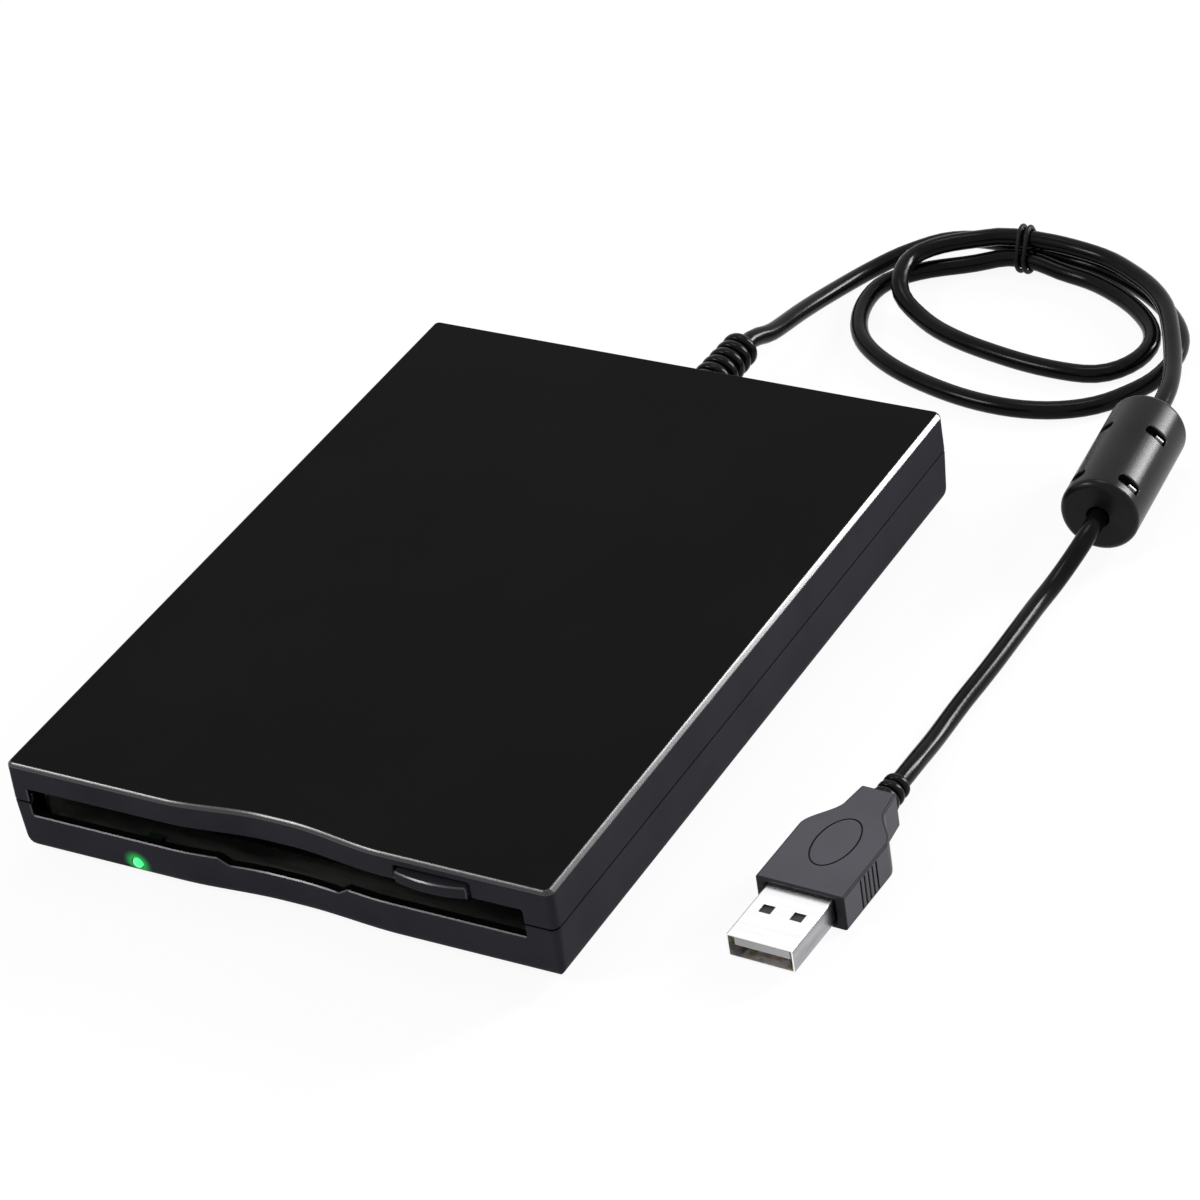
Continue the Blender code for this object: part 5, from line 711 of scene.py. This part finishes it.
def make_cover():
    rim, step = SPLIT + SEAM / 2, SPLIT + LIP_RISE + GAP
    rebate = WALL - LIP_T - GAP
    rows = cover_rows()
    slots = [EDGE_GLOSS_AND_SHADE] * (len(rows) - 1) + [PAINTED_LIGHT_SIDES] + [SHADED_INSIDE] * 4
    rows += [
        (0, 0, rim, dip_at(rim)), (rebate, rebate, rim, dip_at(rim)), (rebate, rebate, step, dip_at(step)),
        (WALL, WALL, step, dip_at(step)),
        (WALL + COVER_DRAFT, WALL + COVER_DRAFT, INNER_TOP, dip_at(INNER_TOP)),
    ]
    mesh = to_mesh(loft(rows, slots), "cover")
    cover = piece("cover", mesh, (TOP, EDGE, INSIDE_PAINTED_SHADE, WALLS_PAINTED_LIGHT), nodes=("top_cover",))
    joins, cuts = [], []
    for x in (-SCREW_X, SCREW_X):
        joins.append(upright_tool(COVER_BOSS_R, x, SCREW_Y, BOSS_MEET + GAP, INNER_TOP + OVERLAP))
        cuts.append(upright_tool(SCREW_HOLE_R, x, SCREW_Y, BOSS_MEET - OVERRUN, INNER_TOP - WALL))
    half = BUTTON_W / 2 + GAP
    cuts += [
        slot_tool(), neck_tool(),
        box_tool((BUTTON_X - half, FRONT - OVERRUN, SLOT_TOP - OVERRUN),
                 (BUTTON_X + half, FRONT_IN + 2 * COVER_DRAFT + GAP, SLOT_TOP + BUTTON_H + 2 * GAP)),
    ]
    return plain_seam(shape(cover, cuts, joins, bevel=RUBBED_EDGE, edge_slot=EDGE_GLOSS_AND_SHADE), PAINTED_LIGHT_SIDES)


def make_bottom():
    lip_out, rim, lip_top = WALL - LIP_T, SPLIT - SEAM / 2, SPLIT + LIP_RISE
    rows = bottom_rows()
    slots = [FACE] * len(rows) + [SHADED_INSIDE] * 4
    rows += [
        (0, 0, rim, dip_at(rim)), (lip_out, lip_out, rim, dip_at(rim)),
        (lip_out, lip_out, lip_top, dip_at(lip_top)), (WALL, WALL, lip_top, dip_at(lip_top)),
        (WALL + CASE_DRAFT, WALL + CASE_DRAFT, INNER_FLOOR, dip_at(INNER_FLOOR)),
    ]
    mesh = to_mesh(loft(rows, slots), "bottom")
    bottom = piece("bottom", mesh, (LOWER_WALLS_LIGHT_AND_GLOW, EDGE, INSIDE_PAINTED_SHADE), nodes=("bottom_case",))
    joins, cuts = [], []
    low = INNER_FLOOR - OVERLAP
    for side in (-1, 1):
        for y in CHASSIS_POST_YS:
            x = side * CHASSIS_POST_X - CHASSIS_POST_SHIFT
            joins.append(upright_tool(CHASSIS_POST_R, x, y, low, INNER_FLOOR + CHASSIS_POST_H))
            cuts.append(upright_tool(CHASSIS_HOLE_R, x, y, INNER_FLOOR - WALL / 2,
                                     INNER_FLOOR + CHASSIS_HOLE_H))
        x = side * SCREW_X
        joins.append(upright_tool(BOTTOM_BOSS_R, x, SCREW_Y, low, BOSS_MEET))
        cuts.append(upright_tool(SCREW_HOLE_R, x, SCREW_Y, -OVERRUN, BOSS_MEET + OVERRUN))
        cuts.append(upright_tool(SCREW_HEAD_R, x, SCREW_Y, FOOT_H - OVERRUN, FOOT_H + SCREW_HEAD_DEEP))
        joins.append(upright_tool(BOARD_POST_R, side * BOARD_POST_X, BOARD_POST_Y, low,
                                  INNER_FLOOR + BOARD_POST_H))
        for y in (-FOOT_Y, FOOT_Y):
            cuts.append(upright_tool(FOOT_RECESS_R, side * FOOT_X, y, FOOT_H - OVERRUN,
                                     FOOT_H + FOOT_RECESS))
    cuts += [slot_tool(), neck_tool(),
             rod_tool(LED_R + LENS_FIT, (LED_X, FRONT - OVERRUN, LED_Z),
                      (LED_X, FRONT_IN + CASE_DRAFT + GAP, LED_Z))]
    return plain_seam(shape(bottom, cuts, joins, bevel=RUBBED_EDGE, edge_slot=EDGE_GLOSS_AND_SHADE), FACE)


def make_button():
    """The eject button, with a bowed front and a socket for the plate behind it."""
    half = BUTTON_W / 2
    front = FRONT - BUTTON_PROUD
    back = front + BUTTON_DEEP
    radius = (half * half + BUTTON_BOW * BUTTON_BOW) / (2 * BUTTON_BOW)
    half_angle = math.asin(half / radius)
    outline = arc(0, front + radius, radius, -QUARTER - half_angle, -QUARTER + half_angle, 40)
    outline += [(half, back), (-half, back)]
    bm = prism_bm(outline, SLOT_TOP, SLOT_TOP + BUTTON_H,
                  lambda u, v, level: (u + BUTTON_X, v + CASE_Y, level))
    button = piece("button", to_mesh(bm, "button"), (BUTTON, EDGE),
                   nodes=("eject_button",), body="ejector")
    socket = box_tool((BUTTON_X - SOCKET_HALF, back - SOCKET_DEEP, SLOT_TOP - OVERRUN),
                      (BUTTON_X + SOCKET_HALF, back + OVERRUN, SOCKET_TOP))
    return shape(button, [socket], bevel=BUTTON_EDGE, edge_slot=EDGE_GLOSS_AND_SHADE, angle=40)


LENS_PROFILE = ((0, 0.0003), (0.0004, 0.00027), (0.00075, 0.00016), (0.00093, 0.0), (LED_R, -0.0002),
                (LED_R, -0.0033), (0, -0.0033))


def make_lens():
    place = Matrix.Translation((LED_X, FRONT + CASE_Y + CASE_DRAFT, LED_Z)) @ Matrix.Rotation(QUARTER, 4, "X")
    return piece("lens", to_mesh(turned_bm(LENS_PROFILE, 40), "lens"), (LENS,), place,
                 ("led_lens",))


BOOT_RINGS, BOOT_RING_SHARE, BOOT_RING_DEEP = 8, 0.74, 0.0009
BOOT_MOUTH_R, BOOT_TIP_R, BOOT_TAPER = 0.0019, 0.0035, 0.0005
BOOT_NECK_R, BOOT_FLANGE_R, BOOT_FLANGE_T, BOOT_OFF_WALL = 0.0030, 0.0040, 0.001, 0.0002


def make_boot():
    """A tapering boot of round rings, with its neck and flange behind the wall."""
    pitch = BOOT_L / BOOT_RINGS
    width = pitch * BOOT_RING_SHARE
    profile = [(0, BOOT_L), (BOOT_MOUTH_R, BOOT_L)]
    for i in range(BOOT_RINGS):
        top = BOOT_L - i * pitch
        radius = BOOT_TIP_R + BOOT_TAPER * i / (BOOT_RINGS - 1)
        profile += ring_profile(radius, BOOT_RING_DEEP, top, width)
        if i < BOOT_RINGS - 1:
            profile.append((radius - BOOT_RING_DEEP, top - width - (pitch - width) / 2))
    wall = WALL + CASE_DRAFT + GAP
    profile += [(BOOT_FLANGE_R, BOOT_OFF_WALL), (BOOT_NECK_R, BOOT_OFF_WALL), (BOOT_NECK_R, -wall),
                (BOOT_FLANGE_R, -wall), (BOOT_FLANGE_R, -wall - BOOT_FLANGE_T), (0, -wall - BOOT_FLANGE_T)]
    place = Matrix.Translation((0, CASE_Y + BACK, BOOT_Z)) @ Matrix.Rotation(-QUARTER, 4, "X")
    return piece("boot", to_mesh(turned_bm(profile, 64), "boot"), (BOOT,), place,
                 ("strain_relief",), sharp=RIB_SHARP_ANGLE)


PAD_TOP = FOOT_H + 0.0003
PAD_PROFILE = ((0, 0.00012), (0.0030, 0.00006), (0.0041, 0.0), (0.0044, 0.0001), (0.0045, 0.0003),
               (0.0045, PAD_TOP), (0, PAD_TOP))


def make_feet():
    for side, side_word in ((-1, "left"), (1, "right")):
        for y, end_word in ((-FOOT_Y, "front"), (FOOT_Y, "rear")):
            name = f"{end_word}_{side_word}"
            place = Matrix.Translation((side * FOOT_X, y + CASE_Y, 0))
            piece(f"pad_{name}", to_mesh(turned_bm(PAD_PROFILE, 48), "pad"), (RUBBER,), place,
                  (f"foot_{name}",))


TIE_PITCH, TIE_SLACK, TIE_STEPS = 0.0015, 0.0001, 8


def make_tie():
    """Two turns of coated wire round the three strands."""
    reach = CORD_R + TIE_WIRE_R + TIE_SLACK
    loop = []
    for n, (y, z) in enumerate(((TIE_BACK_Y, TIE_LOW_Z), (TIE_Y, TIE_TOP_Z), (TIE_FRONT_Y, TIE_LOW_Z))):
        middle = -math.pi / 6 + n * math.tau / 3
        for i in range(TIE_STEPS + 1):
            angle = middle + (i / TIE_STEPS - 0.5) * math.tau / 3
            loop.append((y + reach * math.cos(angle), z + reach * math.sin(angle)))
    count = len(loop)
    points = [(TIE_X + TIE_PITCH * (i / count - 1), *loop[i % count]) for i in range(2 * count + 1)]
    obj = strand("tie", points, TIE_WIRE_R, 4, TIE)
    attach(obj, "housing")
    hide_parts("cord_tie")


# Ferrite and plug
FERRITE_EDGE_R, FERRITE_WALL, FERRITE_BORE_R = 0.0014, 0.0016, CORD_R + 0.0003
WINDOW_TURN, WINDOW_FIRST, WINDOW_PITCH = math.radians(45.9), -0.0049, 0.0154
WINDOW_HALF_W, WINDOW_HALF_L, WINDOW_CORNER, WINDOW_DEEP = 0.0022, 0.0012, 0.0008, 0.0019
FERRITE_EDGE_BEVEL = 0.00018
# White bars behind the windows: painted highlights.
HIGHLIGHT_BAR_LOW = (FERRITE_R - 0.0013, -0.0018, -0.0007)
HIGHLIGHT_BAR_HIGH = (FERRITE_R - 0.0007, -0.0002, -0.0003)


def window_places():
    """The ferrite's windows, two in each of the four rows round it."""
    for row in range(4):
        spin = Matrix.Rotation(WINDOW_TURN + row * math.tau / 4, 4, "Z")
        for n in range(2):
            yield spin @ Matrix.Translation((0, 0, WINDOW_FIRST + n * WINDOW_PITCH))


def make_ferrite():
    """The moulded shell with its windows, and white bars behind them that stand in for the highlight on the
    core: painted highlights.
    """
    half = FERRITE_L / 2
    room_r, room = FERRITE_R - FERRITE_WALL, half - FERRITE_WALL
    round_r = FERRITE_R - FERRITE_EDGE_R
    profile = [(FERRITE_BORE_R, half)]
    profile += arc(round_r, half - FERRITE_EDGE_R, FERRITE_EDGE_R, QUARTER, 0, 8)
    profile += arc(round_r, FERRITE_EDGE_R - half, FERRITE_EDGE_R, 0, -QUARTER, 8)
    profile += [(FERRITE_BORE_R, -half), (FERRITE_BORE_R, -room), (room_r, -room), (room_r, room),
                (FERRITE_BORE_R, room)]
    lay = Matrix.Rotation(FERRITE_YAW, 4, "Z") @ Matrix.Rotation(QUARTER, 4, "X")
    place = Matrix.Translation(FERRITE_MIDDLE) @ lay
    bm = turned_bm(profile, 96, closed=True)
    obj = piece("ferrite_shell", to_mesh(bm, "ferrite_shell"), (FERRITE, EDGE), place,
                ("ferrite_housing",))
    cuts = []
    highlight_bars = bmesh.new()
    for spot in window_places():
        tool = box_bm((FERRITE_R - WINDOW_DEEP, -WINDOW_HALF_W, -WINDOW_HALF_L),
                      (FERRITE_R + WINDOW_DEEP, WINDOW_HALF_W, WINDOW_HALF_L))
        edges = [e for e in tool.edges if abs((e.verts[0].co - e.verts[1].co).x) > WINDOW_DEEP]
        bmesh.ops.bevel(tool, geom=edges, offset=WINDOW_CORNER, segments=5, profile=0.5, affect="EDGES")
        cuts.append(tool_from(tool, place @ spot))
        # A white bar behind each window stands in for the highlight on the core: painted highlight.
        highlight_bar = box_bm(HIGHLIGHT_BAR_LOW, HIGHLIGHT_BAR_HIGH, 0.0001)
        bmesh.ops.transform(highlight_bar, verts=highlight_bar.verts, matrix=spot)
        highlight_bar_mesh = to_mesh(highlight_bar, "highlight_bar")
        highlight_bars.from_mesh(highlight_bar_mesh)
        bpy.data.meshes.remove(highlight_bar_mesh)
    shape(obj, cuts, bevel=FERRITE_EDGE_BEVEL, edge_slot=EDGE_GLOSS_AND_SHADE)
    highlight_bars = piece("painted_highlight_bars", to_mesh(highlight_bars, "painted_highlight_bars"), (WHITE_PLASTIC,), place)
    return [obj, highlight_bars]


PLUG_TAPER, PLUG_NECK_EASE, PLUG_STEPS = 0.0016, 0.00055, 18
CAVITY_HALF_W, CAVITY_HALF_H, CAVITY_DEEP = 0.0063, 0.00255, 0.0033
OVAL_Y, OVAL_HALF_L, OVAL_HALF_W, OVAL_DEEP = 0.0123, 0.00625, 0.0035, 0.0003
OVAL_OUT, OVAL_IN, OVAL_SIDES = 0.00012, -0.00018, 72
PLUG_EDGE = 0.00035
GRIPS, GRIP_FIRST, GRIP_PITCH = 5, 0.0056, 0.0013
GRIP_DEEP, GRIP_HALF, GRIP_END = 0.0004, 0.00025, 0.0005
RELIEF_RINGS, RELIEF_RING_SHARE, RELIEF_RING_DEEP = 3, 0.8, 0.0006
RELIEF_TIP_R, RELIEF_TAPER, RELIEF_CORE_R, RELIEF_ROOT = 0.0024, 0.0001, 0.0018, 0.0010


def plug_outline():
    """The plug from above: a flat grip, curved shoulders and a neck."""
    half, neck = PLUG_W / 2, PLUG_NECK_W / 2
    right = [(half, 0), (half, PLUG_FLAT - PLUG_TAPER)]
    for i in range(1, PLUG_STEPS + 1):
        t = i / PLUG_STEPS
        y = PLUG_FLAT - PLUG_TAPER + t * (PLUG_SHOULDER + PLUG_TAPER)
        right.append((half + (neck + PLUG_NECK_EASE - half) * smooth_step(t), y))
    right.append((neck, PLUG_L))
    return right + [(-x, y) for x, y in reversed(right)]


def oval_tool(place):
    """A ring that cuts the oval groove in the plug's top. Its walls take the dark edge material: painted
    shade.
    """
    low, high = PLUG_H / 2 - OVAL_DEEP, PLUG_H / 2 + OVERRUN
    bm = bmesh.new()
    rows = []
    for k, z in ((OVAL_IN, low), (OVAL_IN, high), (OVAL_OUT, high), (OVAL_OUT, low)):
        rows.append([bm.verts.new(((OVAL_HALF_W + k) * math.cos(math.tau * i / OVAL_SIDES),
                                   OVAL_Y + (OVAL_HALF_L + k) * math.sin(math.tau * i / OVAL_SIDES), z))
                     for i in range(OVAL_SIDES)])
    for a, b in zip(rows, rows[1:] + rows[:1]):
        for i in range(OVAL_SIDES):
            j = (i + 1) % OVAL_SIDES
            bm.faces.new((a[i], a[j], b[j], b[i])).material_index = EDGE_GLOSS_AND_SHADE
    return tool_from(bm, place)


def make_plug():
    """The overmoulded grip with its grooves, and its short relief."""
    place = Matrix.Translation(PLUG_FACE) @ Matrix.Rotation(PLUG_YAW, 4, "Z")
    bm = prism_bm(plug_outline(), -PLUG_H / 2, PLUG_H / 2, lambda u, v, level: (u, v, level))
    obj = piece("plug_grip", to_mesh(bm, "plug_grip"), (PLUG, PLUG_PAINTED_SHADE), place,
                ("plug_body",))
    cavity = tool_from(box_bm((-CAVITY_HALF_W, -OVERRUN, -CAVITY_HALF_H),
                              (CAVITY_HALF_W, CAVITY_DEEP, CAVITY_HALF_H)), place)
    # The plug's bevelled edges, grooves and front take the dark material: painted shade.
    shape(obj, [cavity], bevel=PLUG_EDGE, segments=4, edge_slot=EDGE_GLOSS_AND_SHADE)
    grooves = [oval_tool(place)]
    for side in (-1, 1):
        x = side * PLUG_W / 2
        for n in range(GRIPS):
            y = GRIP_FIRST + n * GRIP_PITCH
            groove = box_bm((x - GRIP_DEEP, y - GRIP_HALF, -PLUG_H / 2 + GRIP_END),
                            (x + GRIP_DEEP, y + GRIP_HALF, PLUG_H / 2 - GRIP_END))
            for face in groove.faces:
                face.material_index = EDGE_GLOSS_AND_SHADE
            grooves.append(tool_from(groove, place))
    shape(obj, grooves)
    # The front face round the mouth is painted shade too.
    for face in obj.data.polygons:
        if face.normal.y < -0.9 and face.center.y < OVERRUN:
            face.material_index = EDGE_GLOSS_AND_SHADE
    pitch = RELIEF_L / RELIEF_RINGS
    profile = [(0, RELIEF_L), (RELIEF_CORE_R, RELIEF_L)]
    for i in range(RELIEF_RINGS):
        profile += ring_profile(RELIEF_TIP_R + RELIEF_TAPER * i, RELIEF_RING_DEEP, RELIEF_L - i * pitch,
                                pitch * RELIEF_RING_SHARE)
    profile += [(RELIEF_CORE_R, -RELIEF_ROOT), (0, -RELIEF_ROOT)]
    turn = place @ Matrix.Translation((0, PLUG_L, 0)) @ Matrix.Rotation(-QUARTER, 4, "X")
    relief = piece("plug_relief", to_mesh(turned_bm(profile, 48), "plug_relief"), (BOOT,), turn,
                   sharp=RIB_SHARP_ANGLE)
    return place, [obj, relief]


# The plug's metal and insulator, from the front of its moulding. Its mouth is towards -Y
SHELL_HALF_W, SHELL_HALF_H, SHELL_T = 0.0060, 0.00225, 0.0003
SHELL_OUTER_R, SHELL_INNER_R, SHELL_BACK, SHELL_MOUTH = 0.0004, 0.00015, 0.003, -0.0132
PORT_X, PORT_Y, PORT_HALF_W, PORT_HALF_L = 0.0028, -0.0055, 0.00105, 0.0010
FOLD_HALF, FOLD_DEEP = 0.00006, 0.0002
TONGUE_TOP, TONGUE_T, TONGUE_HALF_W, TONGUE_FRONT = 0.00165, 0.0019, 0.0050, -0.0126
BLOCK_HALF_W = 0.0054
LATCH_HALF_W, LATCH_FRONT, LATCH_BACK = 0.0016, -0.0078, -0.0032
CONTACT_XS, CONTACT_LONG, CONTACT_SHORT = (-0.0035, -0.00100, 0.00100, 0.0035), 0.0112, 0.0102
CONTACT_HALF_W, CONTACT_FROM_BLOCK = 0.0005, 0.0005


def make_shell(place):
    """The folded shell: a rounded tube with two windows above and below, and its seam underneath."""
    bm = bmesh.new()
    outer = corner_arcs(SHELL_HALF_W, SHELL_HALF_H, SHELL_OUTER_R, 5)
    inner = corner_arcs(SHELL_HALF_W - SHELL_T, SHELL_HALF_H - SHELL_T, SHELL_INNER_R, 5)
    rows = []
    for loop, y in ((outer, SHELL_BACK), (outer, SHELL_MOUTH), (inner, SHELL_MOUTH), (inner, SHELL_BACK)):
        rows.append([bm.verts.new((x, y, z)) for x, z in loop])
    for a, b in zip(rows, rows[1:] + rows[:1]):
        for i in range(len(a)):
            j = (i + 1) % len(a)
            bm.faces.new((a[i], a[j], b[j], b[i]))
    obj = piece("shell", to_mesh(bm, "shell"), (SHELL, SHELL_SIDE_PAINTED_SHADE), place, ("plug_shell",))
    cuts = []
    for x in (-PORT_X, PORT_X):
        cuts.append(tool_from(box_bm((x - PORT_HALF_W, PORT_Y - PORT_HALF_L, -SHELL_HALF_H - OVERRUN),
                                     (x + PORT_HALF_W, PORT_Y + PORT_HALF_L, SHELL_HALF_H + OVERRUN)), place))
    cuts.append(tool_from(box_bm((-FOLD_HALF, SHELL_MOUTH - OVERRUN, -SHELL_HALF_H - OVERRUN),
                                 (FOLD_HALF, SHELL_BACK + OVERRUN, -SHELL_HALF_H + FOLD_DEEP)), place))
    shape(obj, cuts, bevel=0.00007, segments=2)
    # The side faces take the darker nickel: painted shade.
    for face in obj.data.polygons:
        if abs(face.normal.x) > 0.7 and abs(face.center.x) > SHELL_HALF_W - 0.0001:
            face.material_index = 1
    return obj


def make_insulator(place):
    """The block and tongue in the shell, its two dark latches and its four contacts."""
    bm = box_bm((-BLOCK_HALF_W, 0.0, -TONGUE_TOP), (BLOCK_HALF_W, SHELL_BACK, TONGUE_TOP))
    core = piece("insulator", to_mesh(bm, "insulator"), (PLUG_CORE,), place,
                 ("plug_insulator",))
    tongue = tool_from(box_bm((-TONGUE_HALF_W, TONGUE_FRONT, TONGUE_TOP - TONGUE_T),
                              (TONGUE_HALF_W, OVERRUN, TONGUE_TOP)), place)
    shape(core, joins=[tongue], bevel=0.00015, segments=3, angle=40)
    pieces = [core]
    for n, x in enumerate((-PORT_X, PORT_X)):
        latch = box_bm((x - LATCH_HALF_W, LATCH_FRONT, TONGUE_TOP + 0.00004),
                       (x + LATCH_HALF_W, LATCH_BACK, TONGUE_TOP + 0.00020), 0.00006)
        pieces.append(piece(f"latch_{n}", to_mesh(latch, "latch"), (CHIP,), place))
    for n, x in enumerate(CONTACT_XS):
        front = -(CONTACT_LONG if n in (0, 3) else CONTACT_SHORT)
        bar = box_bm((x - CONTACT_HALF_W, front, TONGUE_TOP - TONGUE_T - 0.0002),
                     (x + CONTACT_HALF_W, -CONTACT_FROM_BLOCK, TONGUE_TOP - TONGUE_T + 0.0001), 0.00008)
        pieces.append(piece(f"contact_{n}", to_mesh(bar, "contact"), (GOLD,), place))
    return pieces


make_cover()
make_bottom()
make_button()
make_lens()
make_boot()
make_feet()
make_tie()
ferrite = make_ferrite()
plug_place, plug_pieces = make_plug()
shell = make_shell(plug_place)
insulator = make_insulator(plug_place)

# The CAD nodes that stay
NODE_EDGE = 0.00008
FINISH = {
    "bright_steel": STEEL, "nickel": NICKEL, "grey_plastic": GREY_PLASTIC, "white_plastic": WHITE_PLASTIC,
    "circuit_board": BOARD, "chip_black": CHIP, "copper": WINDING, "brass": BRASS, "ferrite_grey": CORE,
    "ribbon": RIBBON, "case_plastic": INSIDE_PAINTED_SHADE, "black_rubber": RUBBER, "cord_jacket": JACKET,
}
for name, node in NODES.items():
    if node.hide_render:
        continue
    for place_slot in node.material_slots:
        key = place_slot.material.name.split(".")[0] if place_slot.material else ""
        place_slot.material = FINISH.get(key, STEEL)
    edges = node.modifiers.new("edges", "BEVEL")
    edges.width = NODE_EDGE
    edges.segments = 2
    edges.limit_method = "ANGLE"
    edges.angle_limit = math.radians(50)
NODES["lead_screw"].material_slots[0].material = THREAD
NODES["led_diode"].material_slots[0].material = DIODE

# Floor, world and lamps
FLOOR_HALF, FLOOR_BELOW, FLOOR_WHITE_SHARE = 6, 0.00005, 0.92


def seen_white(tree):
    """1 for camera, glossy and transmission rays, and 0 for the light that falls on things."""
    path = add(tree, "ShaderNodeLightPath")
    first = add(tree, "ShaderNodeMath", {0: path.outputs["Is Camera Ray"], 1: path.outputs["Is Glossy Ray"]},
                operation="ADD")
    return add(tree, "ShaderNodeMath", {0: first.outputs[0], 1: path.outputs["Is Transmission Ray"]},
               operation="ADD", use_clamp=True).outputs[0]


floor_mesh = bpy.data.meshes.new("floor")
corners = [(x * FLOOR_HALF, y * FLOOR_HALF, 0) for x, y in ((-1, -1), (1, -1), (1, 1), (-1, 1))]
floor_mesh.from_pydata(corners, [], [(0, 1, 2, 3)])
floor = bpy.data.objects.new("floor", floor_mesh)
floor.location.z = cad_low.z - FLOOR_BELOW
bpy.context.scene.collection.objects.link(floor)
paper = bpy.data.materials.new("paper")
paper.use_nodes = True
tree = paper.node_tree
tree.nodes.clear()
matt = add(tree, "ShaderNodeBsdfDiffuse", {"Color": (0.86, 0.86, 0.86, 1)})
lit = add(tree, "ShaderNodeEmission", {"Color": (1, 1, 1, 1), "Strength": 1.0})
share = add(tree, "ShaderNodeMath", {0: seen_white(tree), 1: FLOOR_WHITE_SHARE}, operation="MULTIPLY")
both = add(tree, "ShaderNodeMixShader", {0: share.outputs[0], 1: matt.outputs[0], 2: lit.outputs[0]})
add(tree, "ShaderNodeOutputMaterial", {"Surface": both.outputs[0]})
floor_mesh.materials.append(paper)

world = bpy.data.worlds.new("studio")
bpy.context.scene.world = world
world.use_nodes = True
tree = world.node_tree
tree.nodes.clear()
soft = add(tree, "ShaderNodeBackground", {"Color": (0.98, 0.99, 1.0, 1), "Strength": 0.42})
white = add(tree, "ShaderNodeBackground", {"Color": (1, 1, 1, 1), "Strength": 1.0})
both = add(tree, "ShaderNodeMixShader", {0: seen_white(tree), 1: soft.outputs[0], 2: white.outputs[0]})
add(tree, "ShaderNodeOutputWorld", {"Surface": both.outputs[0]})


LAMP_TARGET = (0.02, 0.04, 0.01)


def lamp(name, direction, distance, width, height, radiance):
    """A soft box aimed at the drive. Its radiance is what a mirror shows of it."""
    data = bpy.data.lights.new(name, "AREA")
    data.shape = "RECTANGLE"
    data.size, data.size_y = width, height
    data.energy = radiance * math.pi * width * height
    obj = bpy.data.objects.new(name, data)
    aim = Vector(direction).normalized()
    obj.location = Vector(LAMP_TARGET) + aim * distance
    obj.rotation_euler = aim.to_track_quat("Z", "Y").to_euler()
    obj.visible_camera = False
    bpy.context.scene.collection.objects.link(obj)


lamp("back_right_strip", (0.530, 0.757, 0.383), 1.6, 0.30, 0.80, 44)
lamp("front_left_box", (-0.55, -0.53, 0.645), 1.6, 0.42, 0.30, 28)
lamp("overhead_box", (-0.10, 0.25, 1.0), 1.5, 0.60, 0.40, 6)

bpy.context.scene.view_settings.view_transform = "Standard"
